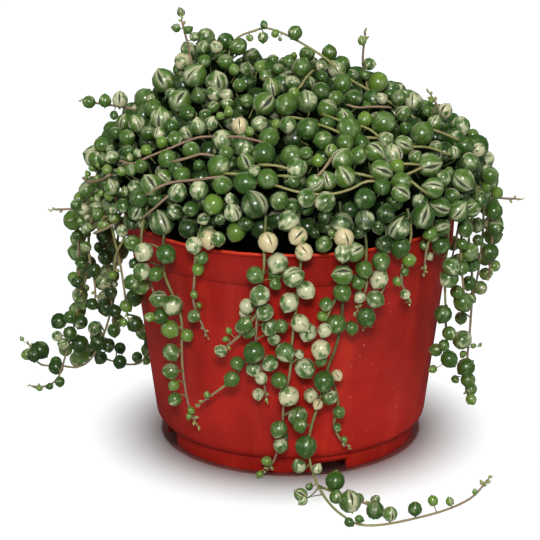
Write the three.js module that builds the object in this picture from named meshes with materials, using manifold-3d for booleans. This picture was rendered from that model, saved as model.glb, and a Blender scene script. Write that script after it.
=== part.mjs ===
// A variegated string of pearls in a red plastic nursery pot.
//
// Millimetres, +Z up. The origin is on the floor, at the pot's axis, and the front of the plant faces -Y.
// Each trailing stem with its pearls is a mesh of its own, and so are the pot, the soil and the mound.
import * as THREE from 'three';
import { mergeVertices } from 'three/addons/utils/BufferGeometryUtils.js';
import Module from 'manifold-3d';

const wasm = await Module();
wasm.setup();

// Pot
const LIP_RADIUS = 70;
const POT_HEIGHT = 100;
const WALL = 1.5;
const LIP_ROUND = 0.9;
const LIP_FLARE = 0.7;
const COLLAR_DROP = 14;
const COLLAR_RADIUS = 68.4;
const COLLAR_STEP = 0.5;
const STEP_RADIUS = 67.2;
const CORNER_RADIUS = 58;
const CORNER_HEIGHT = 12;
const FOOT_RADIUS = 53.5;
const FOOT_HEIGHT = 6.6;
const FOOT_FLARE = 0.5;
const CORNER_ROUND = { inset: 1.2, rise: 2.2 };
const FLOOR_HEIGHT = 3.5;
const PAD_RADIUS = 18;
const POT_SIDES = 30;
const NOTCH = { width: 14.5, height: 5, firstAzimuth: 18, count: 4 };
const DRAIN = { radius: 2.5, ring: 37, count: 8, sides: 8 };

// Soil
const SOIL_TOP = 90;
const SOIL_SIDES = 24;
const CLEARANCE = 0.3;
const SOIL_INSET = 0.6;

// Mound: radius and height of its inner mass, from the rim up to the top
const DOME = [[78, 112], [77, 121], [68, 129], [52, 138], [33, 145.5], [17, 148], [0, 149.5]];
const DOME_NECK = [[0, SOIL_TOP + CLEARANCE], [60, SOIL_TOP + CLEARANCE], [64, 99], [66, 102.5], [72, 103.6]];
const DOME_SIDES = 30;
const PEARLED = [[75.5, 108], ...DOME];
const FRONT_DENT = { depth: 0.16, azimuth: -14, spread: 42 };
const LEAN = 8;
const RISES = [{ x: -31, y: 12, height: 17, spread: 15 }, { x: 14, y: 14, height: 6, spread: 20 }];
const BELOW_LIP_SCALE = 0.5;
const DOME_PEARLS = {
  most: 123, tries: 6000, small: 4.1, large: 5.3, spacing: 10.2, sunk: 0.6, root: 1.5, thinning: 12,
};

// Stems and pearls
const STEM_RADIUS = 1.05;
const STEM_SIDES = 3;
const STEM_STEP = 9;
const PEARL_PITCH = 11.5;
const PEARL_BULGE = 1.08;
const PEARL_TIP = 1.3;
const STALK = 0.5;
const CLOSE_STEP = 2.5;
const OLD_PEARL = 4.9;
const SHOOT_PEARL = 3.6;
const YOUNG_PEARL = 2.3;
const YOUNG_LIMIT = 3.2;
const TAPER = 0.45;
const SPRIG_PEARLS = { old: 3.2, young: 1.8 };
const SPRIG_SEED = 1000;
const PEARL_GAP = 0.5;
const FLOOR_GAP = 0.2;
const SIDE_ANGLES = { least: 20, most: 85, tries: 8 };
const PEARL_LIFT = 0.25;
const SIZE_SHARE = { least: 0.9, spread: 0.2 };
const SPIN_DRAW = 20;
const OUTWARD = { moundRise: 40, floorRise: 12, flattening: 0.7, lift: 0.2 };
const ON_DOME = 1.4;
const OFF_SHOULDER = 2.4;
const OFF_LIP = 6;
const LIP_CLEAR_HEIGHT = 105;

const COLOURS = { pot: 0xa81c20, soil: 0x1d1612, green: 0x4b7a3c };

const degrees = THREE.MathUtils.degToRad;
const UP = new THREE.Vector3(0, 0, 1);

// A repeatable draw between 0 and 1 for whole numbers.
function draw(a, b, c = 0) {
  const wave = Math.sin(a * 127.1 + b * 311.7 + c * 74.7) * 43758.5453;
  return wave - Math.floor(wave);
}

// Linear interpolation of y over rising x.
function interpolate(x, xs, ys) {
  if (x <= xs[0]) return ys[0];
  for (let i = 1; i < xs.length; i += 1) {
    if (x <= xs[i]) return ys[i - 1] + ((ys[i] - ys[i - 1]) * (x - xs[i - 1])) / (xs[i] - xs[i - 1]);
  }
  return ys[ys.length - 1];
}

// Outer radius of the pot at a height.
function potRadius(z) {
  const collar = POT_HEIGHT - COLLAR_DROP;
  if (z > collar) return interpolate(z, [collar, POT_HEIGHT], [COLLAR_RADIUS, LIP_RADIUS]);
  return interpolate(z, [0, FOOT_HEIGHT, CORNER_HEIGHT, collar],
    [FOOT_RADIUS, FOOT_RADIUS + FOOT_FLARE, CORNER_RADIUS, STEP_RADIUS]);
}

// The mound is drawn in at the front, where the pot's lip shows.
function frontScale(azimuth) {
  const away = THREE.MathUtils.euclideanModulo(azimuth - FRONT_DENT.azimuth + 180, 360) - 180;
  return 1 - FRONT_DENT.depth * Math.exp(-((away / FRONT_DENT.spread) ** 2));
}

// The mound leans to the left towards its top.
function lean(z) {
  const rise = Math.max(0, z - POT_HEIGHT) / (DOME[DOME.length - 1][1] - POT_HEIGHT);
  return LEAN * rise ** 3;
}

// How far the mound's top rises at a place, where young shoots crowd.
function riseAt(x, y) {
  const rises = RISES.map((rise) => {
    const away = Math.hypot(x - rise.x, y - rise.y) / rise.spread;
    return rise.height * Math.exp(-(away ** 2));
  });
  return rises.reduce((sum, rise) => sum + rise);
}

// A point from its azimuth (0 is the front, 90 the right), radius and height.
function ring(azimuth, radius, z) {
  const turn = degrees(azimuth);
  return new THREE.Vector3(radius * Math.sin(turn) - lean(z), -radius * Math.cos(turn), z);
}

// Radius of the pot or of the mound's inner mass at a height: what a trailing stem lies on.
function skinRadius(azimuth, z) {
  if (z <= POT_HEIGHT) return potRadius(z);
  const [[widest, shoulder]] = DOME;
  const heights = DOME.map((point) => point[1]);
  const radii = DOME.map((point) => point[0]);
  if (z >= shoulder) return frontScale(azimuth) * interpolate(z, heights, radii);
  const blend = (z - POT_HEIGHT) / (shoulder - POT_HEIGHT);
  return LIP_RADIUS * (1 - blend) + widest * frontScale(azimuth) * blend;
}

// A point that stands off the pot or the mound.
function over(azimuth, z, off) {
  return ring(azimuth, skinRadius(azimuth, z) + off, z);
}

function at(x, y, z) {
  return new THREE.Vector3(x, y, z);
}

// The start of a trailing stem: down the mound and clear of the pot's lip.
function fromMound(azimuth, start) {
  return [
    over(azimuth, start, ON_DOME),
    over(azimuth, DOME[0][1], OFF_SHOULDER),
    over(azimuth, LIP_CLEAR_HEIGHT, OFF_LIP),
  ];
}

// The solid of a closed three.js geometry.
function solidOf(geometry) {
  const bare = geometry.clone();
  bare.deleteAttribute('normal');
  bare.deleteAttribute('uv');
  const merged = mergeVertices(bare, 1e-4);
  return new wasm.Manifold(new wasm.Mesh({
    numProp: 3,
    vertProperties: new Float32Array(merged.attributes.position.array),
    triVerts: new Uint32Array(merged.index.array),
  }));
}

// The three.js geometry of a solid.
function geometryOf(solid) {
  const { vertProperties, triVerts } = solid.getMesh();
  const geometry = new THREE.BufferGeometry();
  geometry.setAttribute('position', new THREE.BufferAttribute(vertProperties, 3));
  geometry.setIndex(new THREE.BufferAttribute(triVerts, 1));
  geometry.computeVertexNormals();
  return geometry;
}

// A solid of revolution about Z from points of radius and height.
function lathe(points, sides) {
  const profile = points.map(([radius, height]) => new THREE.Vector2(radius, height));
  return new THREE.LatheGeometry(profile, sides).rotateX(Math.PI / 2);
}

// The pot: foot ring with notches, rounded corner, tapering wall, collar and rolled lip, with drain holes.
function makePot() {
  const collar = POT_HEIGHT - COLLAR_DROP;
  const inside = FLOOR_HEIGHT + WALL;
  const lipMiddle = LIP_RADIUS - LIP_ROUND;
  const profile = [
    [0, 0], [PAD_RADIUS, 0], [PAD_RADIUS, FLOOR_HEIGHT],
    [FOOT_RADIUS - WALL, FLOOR_HEIGHT], [FOOT_RADIUS - WALL, 0],
    [FOOT_RADIUS, 0], [FOOT_RADIUS + FOOT_FLARE, FOOT_HEIGHT],
    [CORNER_RADIUS - CORNER_ROUND.inset, FOOT_HEIGHT + CORNER_ROUND.rise],
    [CORNER_RADIUS, CORNER_HEIGHT], [STEP_RADIUS, collar], [COLLAR_RADIUS, collar + COLLAR_STEP],
    [LIP_RADIUS - LIP_FLARE, POT_HEIGHT - 2 * LIP_ROUND], [LIP_RADIUS, POT_HEIGHT - LIP_ROUND],
    [lipMiddle, POT_HEIGHT], [LIP_RADIUS - 2 * LIP_ROUND, POT_HEIGHT - LIP_ROUND],
    [STEP_RADIUS - WALL, collar - 2 * COLLAR_STEP],
    [CORNER_RADIUS - WALL, CORNER_HEIGHT + COLLAR_STEP], [FOOT_RADIUS - WALL, inside], [0, inside],
  ];
  let pot = solidOf(lathe(profile, POT_SIDES));
  for (let i = 0; i < NOTCH.count; i += 1) {
    const turn = degrees(NOTCH.firstAzimuth + (i * 360) / NOTCH.count);
    const notch = new THREE.BoxGeometry(NOTCH.width, 4 * WALL, 2 * NOTCH.height);
    notch.translate(0, -(FOOT_RADIUS - WALL / 2), 0).rotateZ(turn);
    const clipped = solidOf(notch).subtract(solidOf(floorSlab()));
    pot = pot.subtract(clipped);
  }
  for (let i = 0; i < DRAIN.count; i += 1) {
    const hole = new THREE.CylinderGeometry(DRAIN.radius, DRAIN.radius, 4 * FLOOR_HEIGHT, DRAIN.sides);
    hole.rotateX(Math.PI / 2).translate(0, -DRAIN.ring, 0).rotateZ(degrees((i * 360) / DRAIN.count));
    pot = pot.subtract(solidOf(hole));
  }
  return geometryOf(pot);
}

// The space above the pot's floor, which no notch cuts into.
function floorSlab() {
  const slab = new THREE.BoxGeometry(4 * FOOT_RADIUS, 4 * FOOT_RADIUS, POT_HEIGHT);
  return slab.translate(0, 0, FLOOR_HEIGHT + POT_HEIGHT / 2);
}

// The soil fills the pot from its floor to just under the lip.
function makeSoil() {
  const collar = POT_HEIGHT - COLLAR_DROP;
  const bottom = FLOOR_HEIGHT + WALL + CLEARANCE;
  const profile = [
    [0, bottom], [FOOT_RADIUS - WALL - 2 * SOIL_INSET, bottom],
    [CORNER_RADIUS - WALL - 2 * SOIL_INSET, CORNER_HEIGHT + 2 * COLLAR_STEP],
    [STEP_RADIUS - WALL - SOIL_INSET, collar - 2 * COLLAR_STEP],
    [STEP_RADIUS - WALL - SOIL_INSET, SOIL_TOP],
    [0, SOIL_TOP],
  ];
  return lathe(profile, SOIL_SIDES);
}

// Point of the mound's pearled surface at an azimuth and a share of the way from its edge to its top.
function domePoint(azimuth, share) {
  const steps = PEARLED.length - 1;
  const index = Math.min(steps - 1, Math.floor(share * steps));
  const part = share * steps - index;
  const radius = PEARLED[index][0] * (1 - part) + PEARLED[index + 1][0] * part;
  const height = PEARLED[index][1] * (1 - part) + PEARLED[index + 1][1] * part;
  const point = ring(azimuth, radius * frontScale(azimuth), height);
  return point.setZ(height + riseAt(point.x, point.y));
}

// Outward direction of the mound's surface.
function domeNormal(azimuth, share) {
  const step = 0.01;
  const above = domePoint(azimuth, Math.min(0.99, share + step));
  const upward = above.sub(domePoint(azimuth, Math.max(0, share - step)));
  const around = domePoint(azimuth + 1, share).sub(domePoint(azimuth - 1, share));
  return around.cross(upward).normalize();
}

// The mound's inner mass, which carries its pearls.
function domeSolid() {
  const geometry = lathe([...DOME_NECK, ...DOME], DOME_SIDES);
  const position = geometry.attributes.position;
  for (let i = 0; i < position.count; i += 1) {
    const [x, y, z] = [position.getX(i), position.getY(i), position.getZ(i)];
    const azimuth = THREE.MathUtils.radToDeg(Math.atan2(x, -y));
    const share = z < DOME[0][1] ? BELOW_LIP_SCALE : 1;
    const scale = 1 - (1 - frontScale(azimuth)) * share;
    const [leaning, inward] = [x * scale - lean(z), y * scale];
    position.setXYZ(i, leaning, inward, z < DOME[0][1] ? z : z + riseAt(leaning, inward));
  }
  return solidOf(geometry);
}

// One pearl: twenty faces, or eight on a young one, with a root on what carries it and a tip opposite.
function pearlSolid(pearl) {
  const young = pearl.radius < YOUNG_LIMIT;
  const geometry = young ? new THREE.OctahedronGeometry(1, 0) : new THREE.IcosahedronGeometry(1, 0);
  const position = geometry.attributes.position;
  const pole = new THREE.Vector3().fromBufferAttribute(position, 0).normalize();
  geometry.applyQuaternion(new THREE.Quaternion().setFromUnitVectors(pole, UP));
  for (let i = 0; i < position.count; i += 1) {
    const height = position.getZ(i);
    let stretch = PEARL_BULGE;
    if (height > 0.99) stretch = PEARL_TIP;
    if (height < -0.99) stretch = pearl.root / pearl.radius;
    position.setXYZ(i, position.getX(i) * stretch, position.getY(i) * stretch, height * stretch);
  }
  geometry.rotateZ(pearl.spin);
  geometry.scale(pearl.radius, pearl.radius, pearl.radius);
  geometry.applyQuaternion(new THREE.Quaternion().setFromUnitVectors(UP, pearl.direction));
  geometry.translate(pearl.centre.x, pearl.centre.y, pearl.centre.z);
  return solidOf(geometry);
}

// Evenly spaced points of a smooth stem through its route.
function stemPoints(route) {
  const curve = new THREE.CatmullRomCurve3(route, false, 'catmullrom', 0.5);
  return curve.getSpacedPoints(Math.round(curve.getLength() / STEM_STEP));
}

// A thin stem along its route. One corner of its section faces what it lies on.
function stemSolid(route) {
  const curve = new THREE.CatmullRomCurve3(route, false, 'catmullrom', 0.5);
  const steps = Math.round(curve.getLength() / STEM_STEP);
  const frames = curve.computeFrenetFrames(steps, false);
  const inward = outwardAt(route[0]).negate();
  const first = Math.atan2(inward.dot(frames.binormals[0]), inward.dot(frames.normals[0]));
  const corners = Array.from({ length: STEM_SIDES }, (_, i) => {
    const turn = first + (i * 2 * Math.PI) / STEM_SIDES;
    return new THREE.Vector2(STEM_RADIUS * Math.cos(turn), STEM_RADIUS * Math.sin(turn));
  });
  const section = new THREE.Shape(corners);
  return solidOf(new THREE.ExtrudeGeometry(section, { steps, extrudePath: curve, bevelEnabled: false }));
}

// The side of a stem that faces away from the pot, from the mound or from the floor.
function outwardAt(point) {
  const onMound = THREE.MathUtils.clamp((point.z - POT_HEIGHT) / OUTWARD.moundRise, 0, 1);
  const onFloor = THREE.MathUtils.clamp(1 - point.z / OUTWARD.floorRise, 0, 1);
  const rise = onMound + onFloor;
  const away = new THREE.Vector3(point.x, point.y, 0).normalize();
  away.multiplyScalar(1 - OUTWARD.flattening * rise);
  return away.addScaledVector(UP, OUTWARD.lift + rise).normalize();
}

// Whether two pearls, with their tips, come nearer than the gap that they keep.
function touches(pearl, other) {
  const reach = pearl.radius * PEARL_BULGE;
  const otherReach = other.radius * PEARL_BULGE;
  const tip = pearl.centre.clone().addScaledVector(pearl.direction, pearl.radius * PEARL_TIP);
  const otherTip = other.centre.clone().addScaledVector(other.direction, other.radius * PEARL_TIP);
  return pearl.centre.distanceTo(other.centre) < reach + otherReach + PEARL_GAP
    || tip.distanceTo(other.centre) < otherReach + PEARL_GAP
    || otherTip.distanceTo(pearl.centre) < reach + PEARL_GAP;
}

// Whether a pearl is clear of the pot, of the mound's inner mass, of the floor and of other stems and pearls.
function isClear(pearl, others, stems) {
  const { centre, radius } = pearl;
  const reach = radius * PEARL_BULGE;
  if (centre.z < reach + FLOOR_GAP) return false;
  const azimuth = THREE.MathUtils.radToDeg(Math.atan2(centre.x + lean(centre.z), -centre.y));
  const ground = skinRadius(azimuth, Math.min(centre.z, DOME[DOME.length - 2][1]));
  if (Math.hypot(centre.x + lean(centre.z), centre.y) < ground + reach + PEARL_GAP) return false;
  if (others.some((other) => touches(pearl, other))) return false;
  return stems.every((point) => point.distanceTo(centre) > reach + STEM_RADIUS + PEARL_GAP);
}

// Points every few millimetres along stems, against which pearls are kept clear.
function closePoints(routes) {
  return routes.flatMap((route) => {
    const path = new THREE.CurvePath();
    const points = stemPoints(route);
    for (let i = 1; i < points.length; i += 1) path.add(new THREE.LineCurve3(points[i - 1], points[i]));
    return path.getSpacedPoints(Math.ceil(path.getLength() / CLOSE_STEP));
  });
}

// The place at a distance along a stem, with the stem's direction there and its side away from the pot.
function placeAt(points, distance) {
  let travel = distance;
  let segment = 0;
  while (travel > points[segment].distanceTo(points[segment + 1])) {
    travel -= points[segment].distanceTo(points[segment + 1]);
    segment += 1;
  }
  const along = points[segment + 1].clone().sub(points[segment]).normalize();
  const base = points[segment].clone().addScaledVector(along, travel);
  const outward = outwardAt(base);
  outward.addScaledVector(along, -outward.dot(along)).normalize();
  return { base, outward, side: new THREE.Vector3().crossVectors(along, outward) };
}

// One pearl of a stem: which one it is, and which try at its angle.
function stemPearl(place, radius, seed, index, attempt) {
  const swing = SIDE_ANGLES.least + (SIDE_ANGLES.most - SIDE_ANGLES.least) * draw(seed, index, attempt + 1);
  const angle = degrees(((index + attempt) % 2 ? 1 : -1) * swing);
  const direction = place.outward.clone().multiplyScalar(Math.cos(angle));
  direction.addScaledVector(place.side, Math.sin(angle)).addScaledVector(UP, PEARL_LIFT).normalize();
  const root = radius + STALK;
  const centre = place.base.clone().addScaledVector(direction, root);
  return { centre, direction, radius, root, spin: 2 * Math.PI * draw(seed, index, SPIN_DRAW) };
}

// The pearls of one stem, alternating from side to side, smaller towards the tip.
function stemPearls(stem, seed, others, otherStems) {
  const points = stemPoints(stem.route);
  const total = points.slice(1).reduce((sum, point, i) => sum + point.distanceTo(points[i]), 0);
  const pearls = [];
  for (let index = 0; PEARL_PITCH * (index + 0.5) < total - YOUNG_PEARL; index += 1) {
    const distance = PEARL_PITCH * (index + 0.5);
    const place = placeAt(points, distance);
    const size = stem.young + (stem.old - stem.young) * (1 - distance / total) ** TAPER;
    const radius = size * (SIZE_SHARE.least + SIZE_SHARE.spread * draw(seed, index));
    for (let attempt = 0; attempt < SIDE_ANGLES.tries; attempt += 1) {
      const pearl = stemPearl(place, radius, seed, index, attempt);
      if (isClear(pearl, [...others, ...pearls], otherStems)) {
        pearls.push(pearl);
        break;
      }
    }
  }
  return pearls;
}

// Trailing stems. Each has a route, and a shoot starts on the route of its own stem.
const TRAILS = {
  front_1: [
    [...fromMound(-41, 121), over(-41.5, 97, 6.2), over(-42, 88, 6.2), over(-40, 76, 6),
      over(-38, 66, 6), over(-40, 45, 6), over(-39, 28, 5.6), over(-36, 20, 5.4)],
  ],
  front_2: [
    [...fromMound(-29, 117), over(-29.5, 97, 6.2), over(-31, 86, 6.2), over(-32, 76, 6),
      over(-28, 63, 6)],
  ],
  front_3: [
    [...fromMound(-8, 119), over(-8, 96, 6.2), over(-10, 78, 8), over(-11, 63, 8), over(-9, 50, 8),
      over(-8, 38, 7)],
    [over(-11, 62, 8), over(-18, 49, 9), over(-27, 38, 9), over(-33, 32, 9)],
    [over(-10.2, 77, 8), over(-14, 70, 10), over(-18, 64, 10.5), over(-22, 60, 10.5)],
  ],
  front_4: [
    [...fromMound(3, 121), over(3, 97, 6.5), over(2, 86, 7), over(1, 70, 8), over(0, 55, 8),
      over(-2, 38, 7), over(-3, 24, 6.5), over(-6, 10, 6), over(-10, 3, 5.5)],
  ],
  front_5: [
    [...fromMound(16, 121), over(16.5, 97, 7), over(15, 66, 8), over(12, 52, 8), over(9, 37, 9),
      over(6.5, 24, 10.5), over(6, 14, 13), at(9.5, -76, 8), at(14, -84, 3), at(20, -98, 1.8),
      at(29, -107, 1.8), at(49, -101, 1.8), at(70, -85, 2), at(80, -74, 7)],
    [at(11.3, -79, 5.6), at(20, -84, 4.4), at(27, -89, 4), at(32.5, -94, 3.5)],
    [over(12, 52, 8), over(15, 41, 9), over(16, 34, 8), over(15.5, 26, 6.5), over(18, 19, 6),
      over(22, 14, 6)],
    [over(16.3, 91, 7.2), over(12.5, 80, 9), over(10, 70, 9.5), over(10, 60, 9.5)],
  ],
  front_6: [
    [...fromMound(22.5, 116), over(22.5, 97, 6.5), over(23, 86, 8.5), over(20, 76, 9)],
  ],
  front_7: [
    [...fromMound(29, 120), over(28.5, 97, 6.5), over(29, 88, 8), over(26, 78, 9), over(23, 69, 9)],
  ],
  front_8: [
    [...fromMound(37, 116), over(36, 96, 6.5), over(35, 87, 8), over(39, 76, 9)],
  ],
  left_1: [
    [...fromMound(-104, 119), ring(-104, 88, 92), at(-89, 25, 62), at(-92, 27, 50), at(-98, 35, 28),
      at(-104, 42, 9), at(-107, 44, 2.6), at(-112, 39, 1.8), at(-118, 37, 3)],
  ],
  left_2: [
    [...fromMound(-113, 117), ring(-112, 86, 96), ring(-112, 88, 80), ring(-112, 87, 60),
      ring(-113, 86, 40), ring(-114, 85, 30)],
  ],
  left_3: [
    [...fromMound(-59, 116), over(-60, 97, 8), ring(-66, 78, 87), ring(-71, 77, 76)],
  ],
  left_4: [
    [...fromMound(-69, 119), over(-69, 96, 8), over(-70, 82, 8), over(-70, 68, 8), over(-71, 58, 8)],
  ],
  left_5: [
    [...fromMound(-50, 119), over(-51, 97, 7), over(-51, 86, 7), over(-48.5, 76, 7), over(-47, 66, 7)],
  ],
  left_6: [
    [...fromMound(-136, 117), ring(-136, 80, 95), ring(-134, 80, 60), ring(-132, 82, 30),
      ring(-130, 87, 10), at(-74, 66, 2.2), at(-85, 73, 1.8), at(-95, 82, 3)],
  ],
  left_7: [
    [...fromMound(-123, 121), ring(-123, 88, 95), ring(-121, 91, 60), ring(-120, 94, 34),
      at(-90, 54, 12), at(-98, 61, 3), at(-108, 66, 1.8), at(-117, 67, 2.2), at(-122, 70, 11)],
  ],
  left_8: [
    [...fromMound(-94, 116), ring(-94, 89, 95), ring(-95, 91, 76), ring(-96, 91, 58)],
  ],
  left_9: [
    [...fromMound(-81, 118), ring(-81, 84, 96), ring(-83, 85, 82), ring(-83, 83, 68), ring(-82, 83, 60)],
  ],
  right_1: [
    [...fromMound(53, 121), over(54, 93, 8), over(57, 75, 9), over(60, 58, 10), over(63, 42, 12)],
  ],
  right_2: [
    [...fromMound(71, 119), ring(72, 77, 92), ring(76, 78, 72), ring(80, 77, 50), ring(82, 76, 32),
      ring(81, 77, 15)],
  ],
  right_3: [
    [...fromMound(45, 117), over(45, 95, 6.5), over(46, 86, 7)],
  ],
  right_4: [
    [...fromMound(86, 117), ring(87, 84, 94), ring(88, 85, 80), ring(88, 84, 68)],
  ],
  right_5: [
    [...fromMound(62, 116), ring(62, 78, 93), ring(64, 78, 80), ring(67, 78, 66)],
  ],
  right_6: [
    [...fromMound(101, 119), ring(101, 84, 94), ring(102, 84, 70), ring(104, 82, 50)],
  ],
  back_1: [
    [...fromMound(118, 117), ring(118, 85, 94), ring(119, 84, 72), ring(121, 83, 58)],
  ],
  back_2: [
    [...fromMound(136, 121), ring(136, 84, 94), ring(137, 83, 60), ring(135, 81, 34), ring(134, 80, 24)],
  ],
  back_3: [
    [...fromMound(153, 117), ring(153, 84, 94), ring(154, 82, 70), ring(156, 80, 48)],
  ],
  back_4: [
    [...fromMound(170, 121), ring(170, 84, 94), ring(169, 82, 62), ring(171, 80, 36), ring(172, 78, 18)],
  ],
  back_5: [
    [...fromMound(187, 117), ring(187, 84, 94), ring(188, 82, 74), ring(187, 81, 60)],
  ],
  back_6: [
    [...fromMound(205, 119), ring(205, 84, 94), ring(206, 82, 66), ring(204, 80, 44)],
  ],
};

// Young stems that stand out of the mound or lie across it.
const SPRIGS = [
  [at(-38, 4, 146), at(-41, 8, 160), at(-45, 9, 177)],
  [at(-27, 8, 156), at(-23, 7, 168), at(-14, 5.5, 172.5), at(-9.5, 5, 173.5), at(0, 4, 170), at(14, 1, 162),
    at(22.5, 0, 154.6), at(35, -1, 147.2), at(49, -4, 139.5), at(58, -6, 132)],
  [at(33, 8, 144), at(30, 9, 158), at(31, 10, 171)],
  [at(60, -4, 128), at(62, -2, 139), at(57, 0, 148)],
  [at(-52, 0, 136), at(-67, 0, 141), at(-86, 0, 144)],
  [at(-72, -3, 108), at(-88, -5, 100), at(-100, -6, 99)],
  [at(70, 3, 108), at(86, 3, 102), at(97, 3, 101)],
];

// The pearls all over the mound, kept clear of the trailing stems.
function domePearls(trailPearls, trailStems) {
  const pearls = [];
  for (let i = 0; i < DOME_PEARLS.tries && pearls.length < DOME_PEARLS.most; i += 1) {
    const azimuth = 360 * draw(i, 1);
    const share = draw(i, 2);
    const surface = domePoint(azimuth, share);
    if (draw(i, 3) * DOME[0][0] > Math.hypot(surface.x, surface.y) + DOME_PEARLS.thinning) continue;
    const direction = domeNormal(azimuth, share);
    const radius = DOME_PEARLS.small + (DOME_PEARLS.large - DOME_PEARLS.small) * draw(i, 4);
    const centre = surface.addScaledVector(direction, radius * DOME_PEARLS.sunk);
    const reach = radius * PEARL_BULGE + PEARL_GAP;
    const root = radius * DOME_PEARLS.root;
    const pearl = { centre, direction, radius, root, spin: 2 * Math.PI * draw(i, 5) };
    const crowded = centre.z < POT_HEIGHT + reach
      || pearls.some((other) => other.centre.distanceTo(centre) < DOME_PEARLS.spacing)
      || trailPearls.some((other) => touches(pearl, other))
      || trailStems.some((point) => point.distanceTo(centre) < reach + STEM_RADIUS);
    if (!crowded) pearls.push(pearl);
  }
  return pearls;
}

const material = (color, roughness) => new THREE.MeshStandardMaterial({ color, roughness, metalness: 0 });

function mesh(name, geometry, colour, roughness) {
  const made = new THREE.Mesh(geometry, material(colour, roughness));
  made.name = name;
  return made;
}

// Joins solids into one.
function joined(solids) {
  return solids.reduce((whole, solid) => whole.add(solid));
}

const plant = new THREE.Group();
plant.add(mesh('pot', makePot(), COLOURS.pot, 0.4));
plant.add(mesh('soil', makeSoil(), COLOURS.soil, 0.95));

const trails = Object.entries(TRAILS).map(([name, routes]) => ({ name, routes }));
const sprigStems = closePoints(SPRIGS);
const allPearls = [];
for (const [index, trail] of trails.entries()) {
  const otherTrails = closePoints(trails.filter((other) => other !== trail).flatMap((other) => other.routes));
  const own = [];
  trail.routes.forEach((route, order) => {
    const siblings = closePoints(trail.routes.filter((other) => other !== route));
    const stem = { route, old: order ? SHOOT_PEARL : OLD_PEARL, young: YOUNG_PEARL };
    const seed = 10 * index + order;
    own.push(...stemPearls(stem, seed, [...allPearls, ...own], [...otherTrails, ...sprigStems, ...siblings]));
  });
  allPearls.push(...own);
  const solids = [...trail.routes.map(stemSolid), ...own.map(pearlSolid)];
  plant.add(mesh(`trail_${trail.name}`, geometryOf(joined(solids)), COLOURS.green, 0.3));
}

const trailStems = closePoints(trails.flatMap((trail) => trail.routes));
const sprigPearls = SPRIGS.flatMap((route, i) => {
  return stemPearls({ route, ...SPRIG_PEARLS }, SPRIG_SEED + i, allPearls, trailStems);
});
const moundSolids = [
  domeSolid(), ...domePearls(allPearls, trailStems).map(pearlSolid),
  ...SPRIGS.map(stemSolid), ...sprigPearls.map(pearlSolid),
];
plant.add(mesh('crown', geometryOf(joined(moundSolids)), COLOURS.green, 0.3));

export default plant;
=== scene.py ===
"""The looks of a variegated string of pearls in a red nursery pot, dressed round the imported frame.

The plant is worked out in millimetres, with the rules and the draws of the frame's own solids, so that each fine
piece lies where its solid lies. Meshes are handed to the scene in metres.
"""

import logging
import math
from dataclasses import dataclass, field, replace
from enum import Enum
from functools import cached_property
from typing import Any, NamedTuple

import bpy
import numpy as np
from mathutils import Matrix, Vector


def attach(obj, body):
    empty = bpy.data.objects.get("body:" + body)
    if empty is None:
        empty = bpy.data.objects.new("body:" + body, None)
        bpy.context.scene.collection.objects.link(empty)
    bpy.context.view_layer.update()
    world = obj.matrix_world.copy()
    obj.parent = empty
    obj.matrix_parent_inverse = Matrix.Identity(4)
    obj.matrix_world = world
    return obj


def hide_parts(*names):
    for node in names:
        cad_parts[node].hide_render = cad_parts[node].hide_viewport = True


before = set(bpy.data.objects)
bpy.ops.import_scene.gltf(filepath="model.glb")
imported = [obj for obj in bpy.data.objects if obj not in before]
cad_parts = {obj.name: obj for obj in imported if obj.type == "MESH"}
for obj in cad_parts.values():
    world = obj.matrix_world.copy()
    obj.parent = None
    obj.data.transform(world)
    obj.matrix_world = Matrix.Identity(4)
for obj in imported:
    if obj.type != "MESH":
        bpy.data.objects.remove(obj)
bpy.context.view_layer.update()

LOG = logging.getLogger("string_of_pearls")
UP = np.array([0.0, 0.0, 1.0])
Array = np.ndarray
Finish = bpy.types.Material
Thing = bpy.types.Object
Pair = tuple[float, float]
Triple = tuple[float, float, float]
Colour = Triple
Scale = tuple[tuple[float, Colour], ...]


class Slot(Enum):
    """Which of a plant piece's two finishes a surface wears."""

    PEARL = 0
    STEM = 1


def draw(a: Any, b: Any, c: Any = 0) -> Any:
    """Repeatable draws between 0 and 1: the fraction of a large multiple of a sine of whole numbers."""
    wave = np.sin(np.asarray(a) * 127.1 + np.asarray(b) * 311.7 + np.asarray(c) * 74.7) * 43758.5453
    return wave - np.floor(wave)


def unit(vectors: Array) -> Array:
    """Vectors along the last axis, each divided by its length."""
    return vectors / np.maximum(np.linalg.norm(vectors, axis=-1, keepdims=True), 1e-9)


def across(vectors: Array, axis: Array) -> Array:
    """The part of each vector that is square to its axis, with length 1."""
    return unit(vectors - np.sum(vectors * axis, axis=-1, keepdims=True) * axis)


def swung(first: Array, second: Array, angle: Any) -> Array:
    """Directions turned from a first one towards a second by an angle: the sum of both by its cosine and sine."""
    return first * np.cos(angle)[..., None] + second * np.sin(angle)[..., None]


def apart(first: Array, second: Array) -> Array:
    """How far each place of a first set is from each of a second."""
    return np.linalg.norm(first[:, None] - second[None], axis=2)


def run_lengths(points: Array) -> Array:
    """The way along straight steps from point to point, at each of them."""
    return np.concatenate([[0.0], np.cumsum(np.linalg.norm(np.diff(points, axis=0), axis=1))])


def stand(name: str, data: Any) -> Thing:
    """Adds an object with its mesh, light or camera to the scene."""
    made = bpy.data.objects.new(name, data)
    bpy.context.scene.collection.objects.link(made)
    return made


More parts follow.
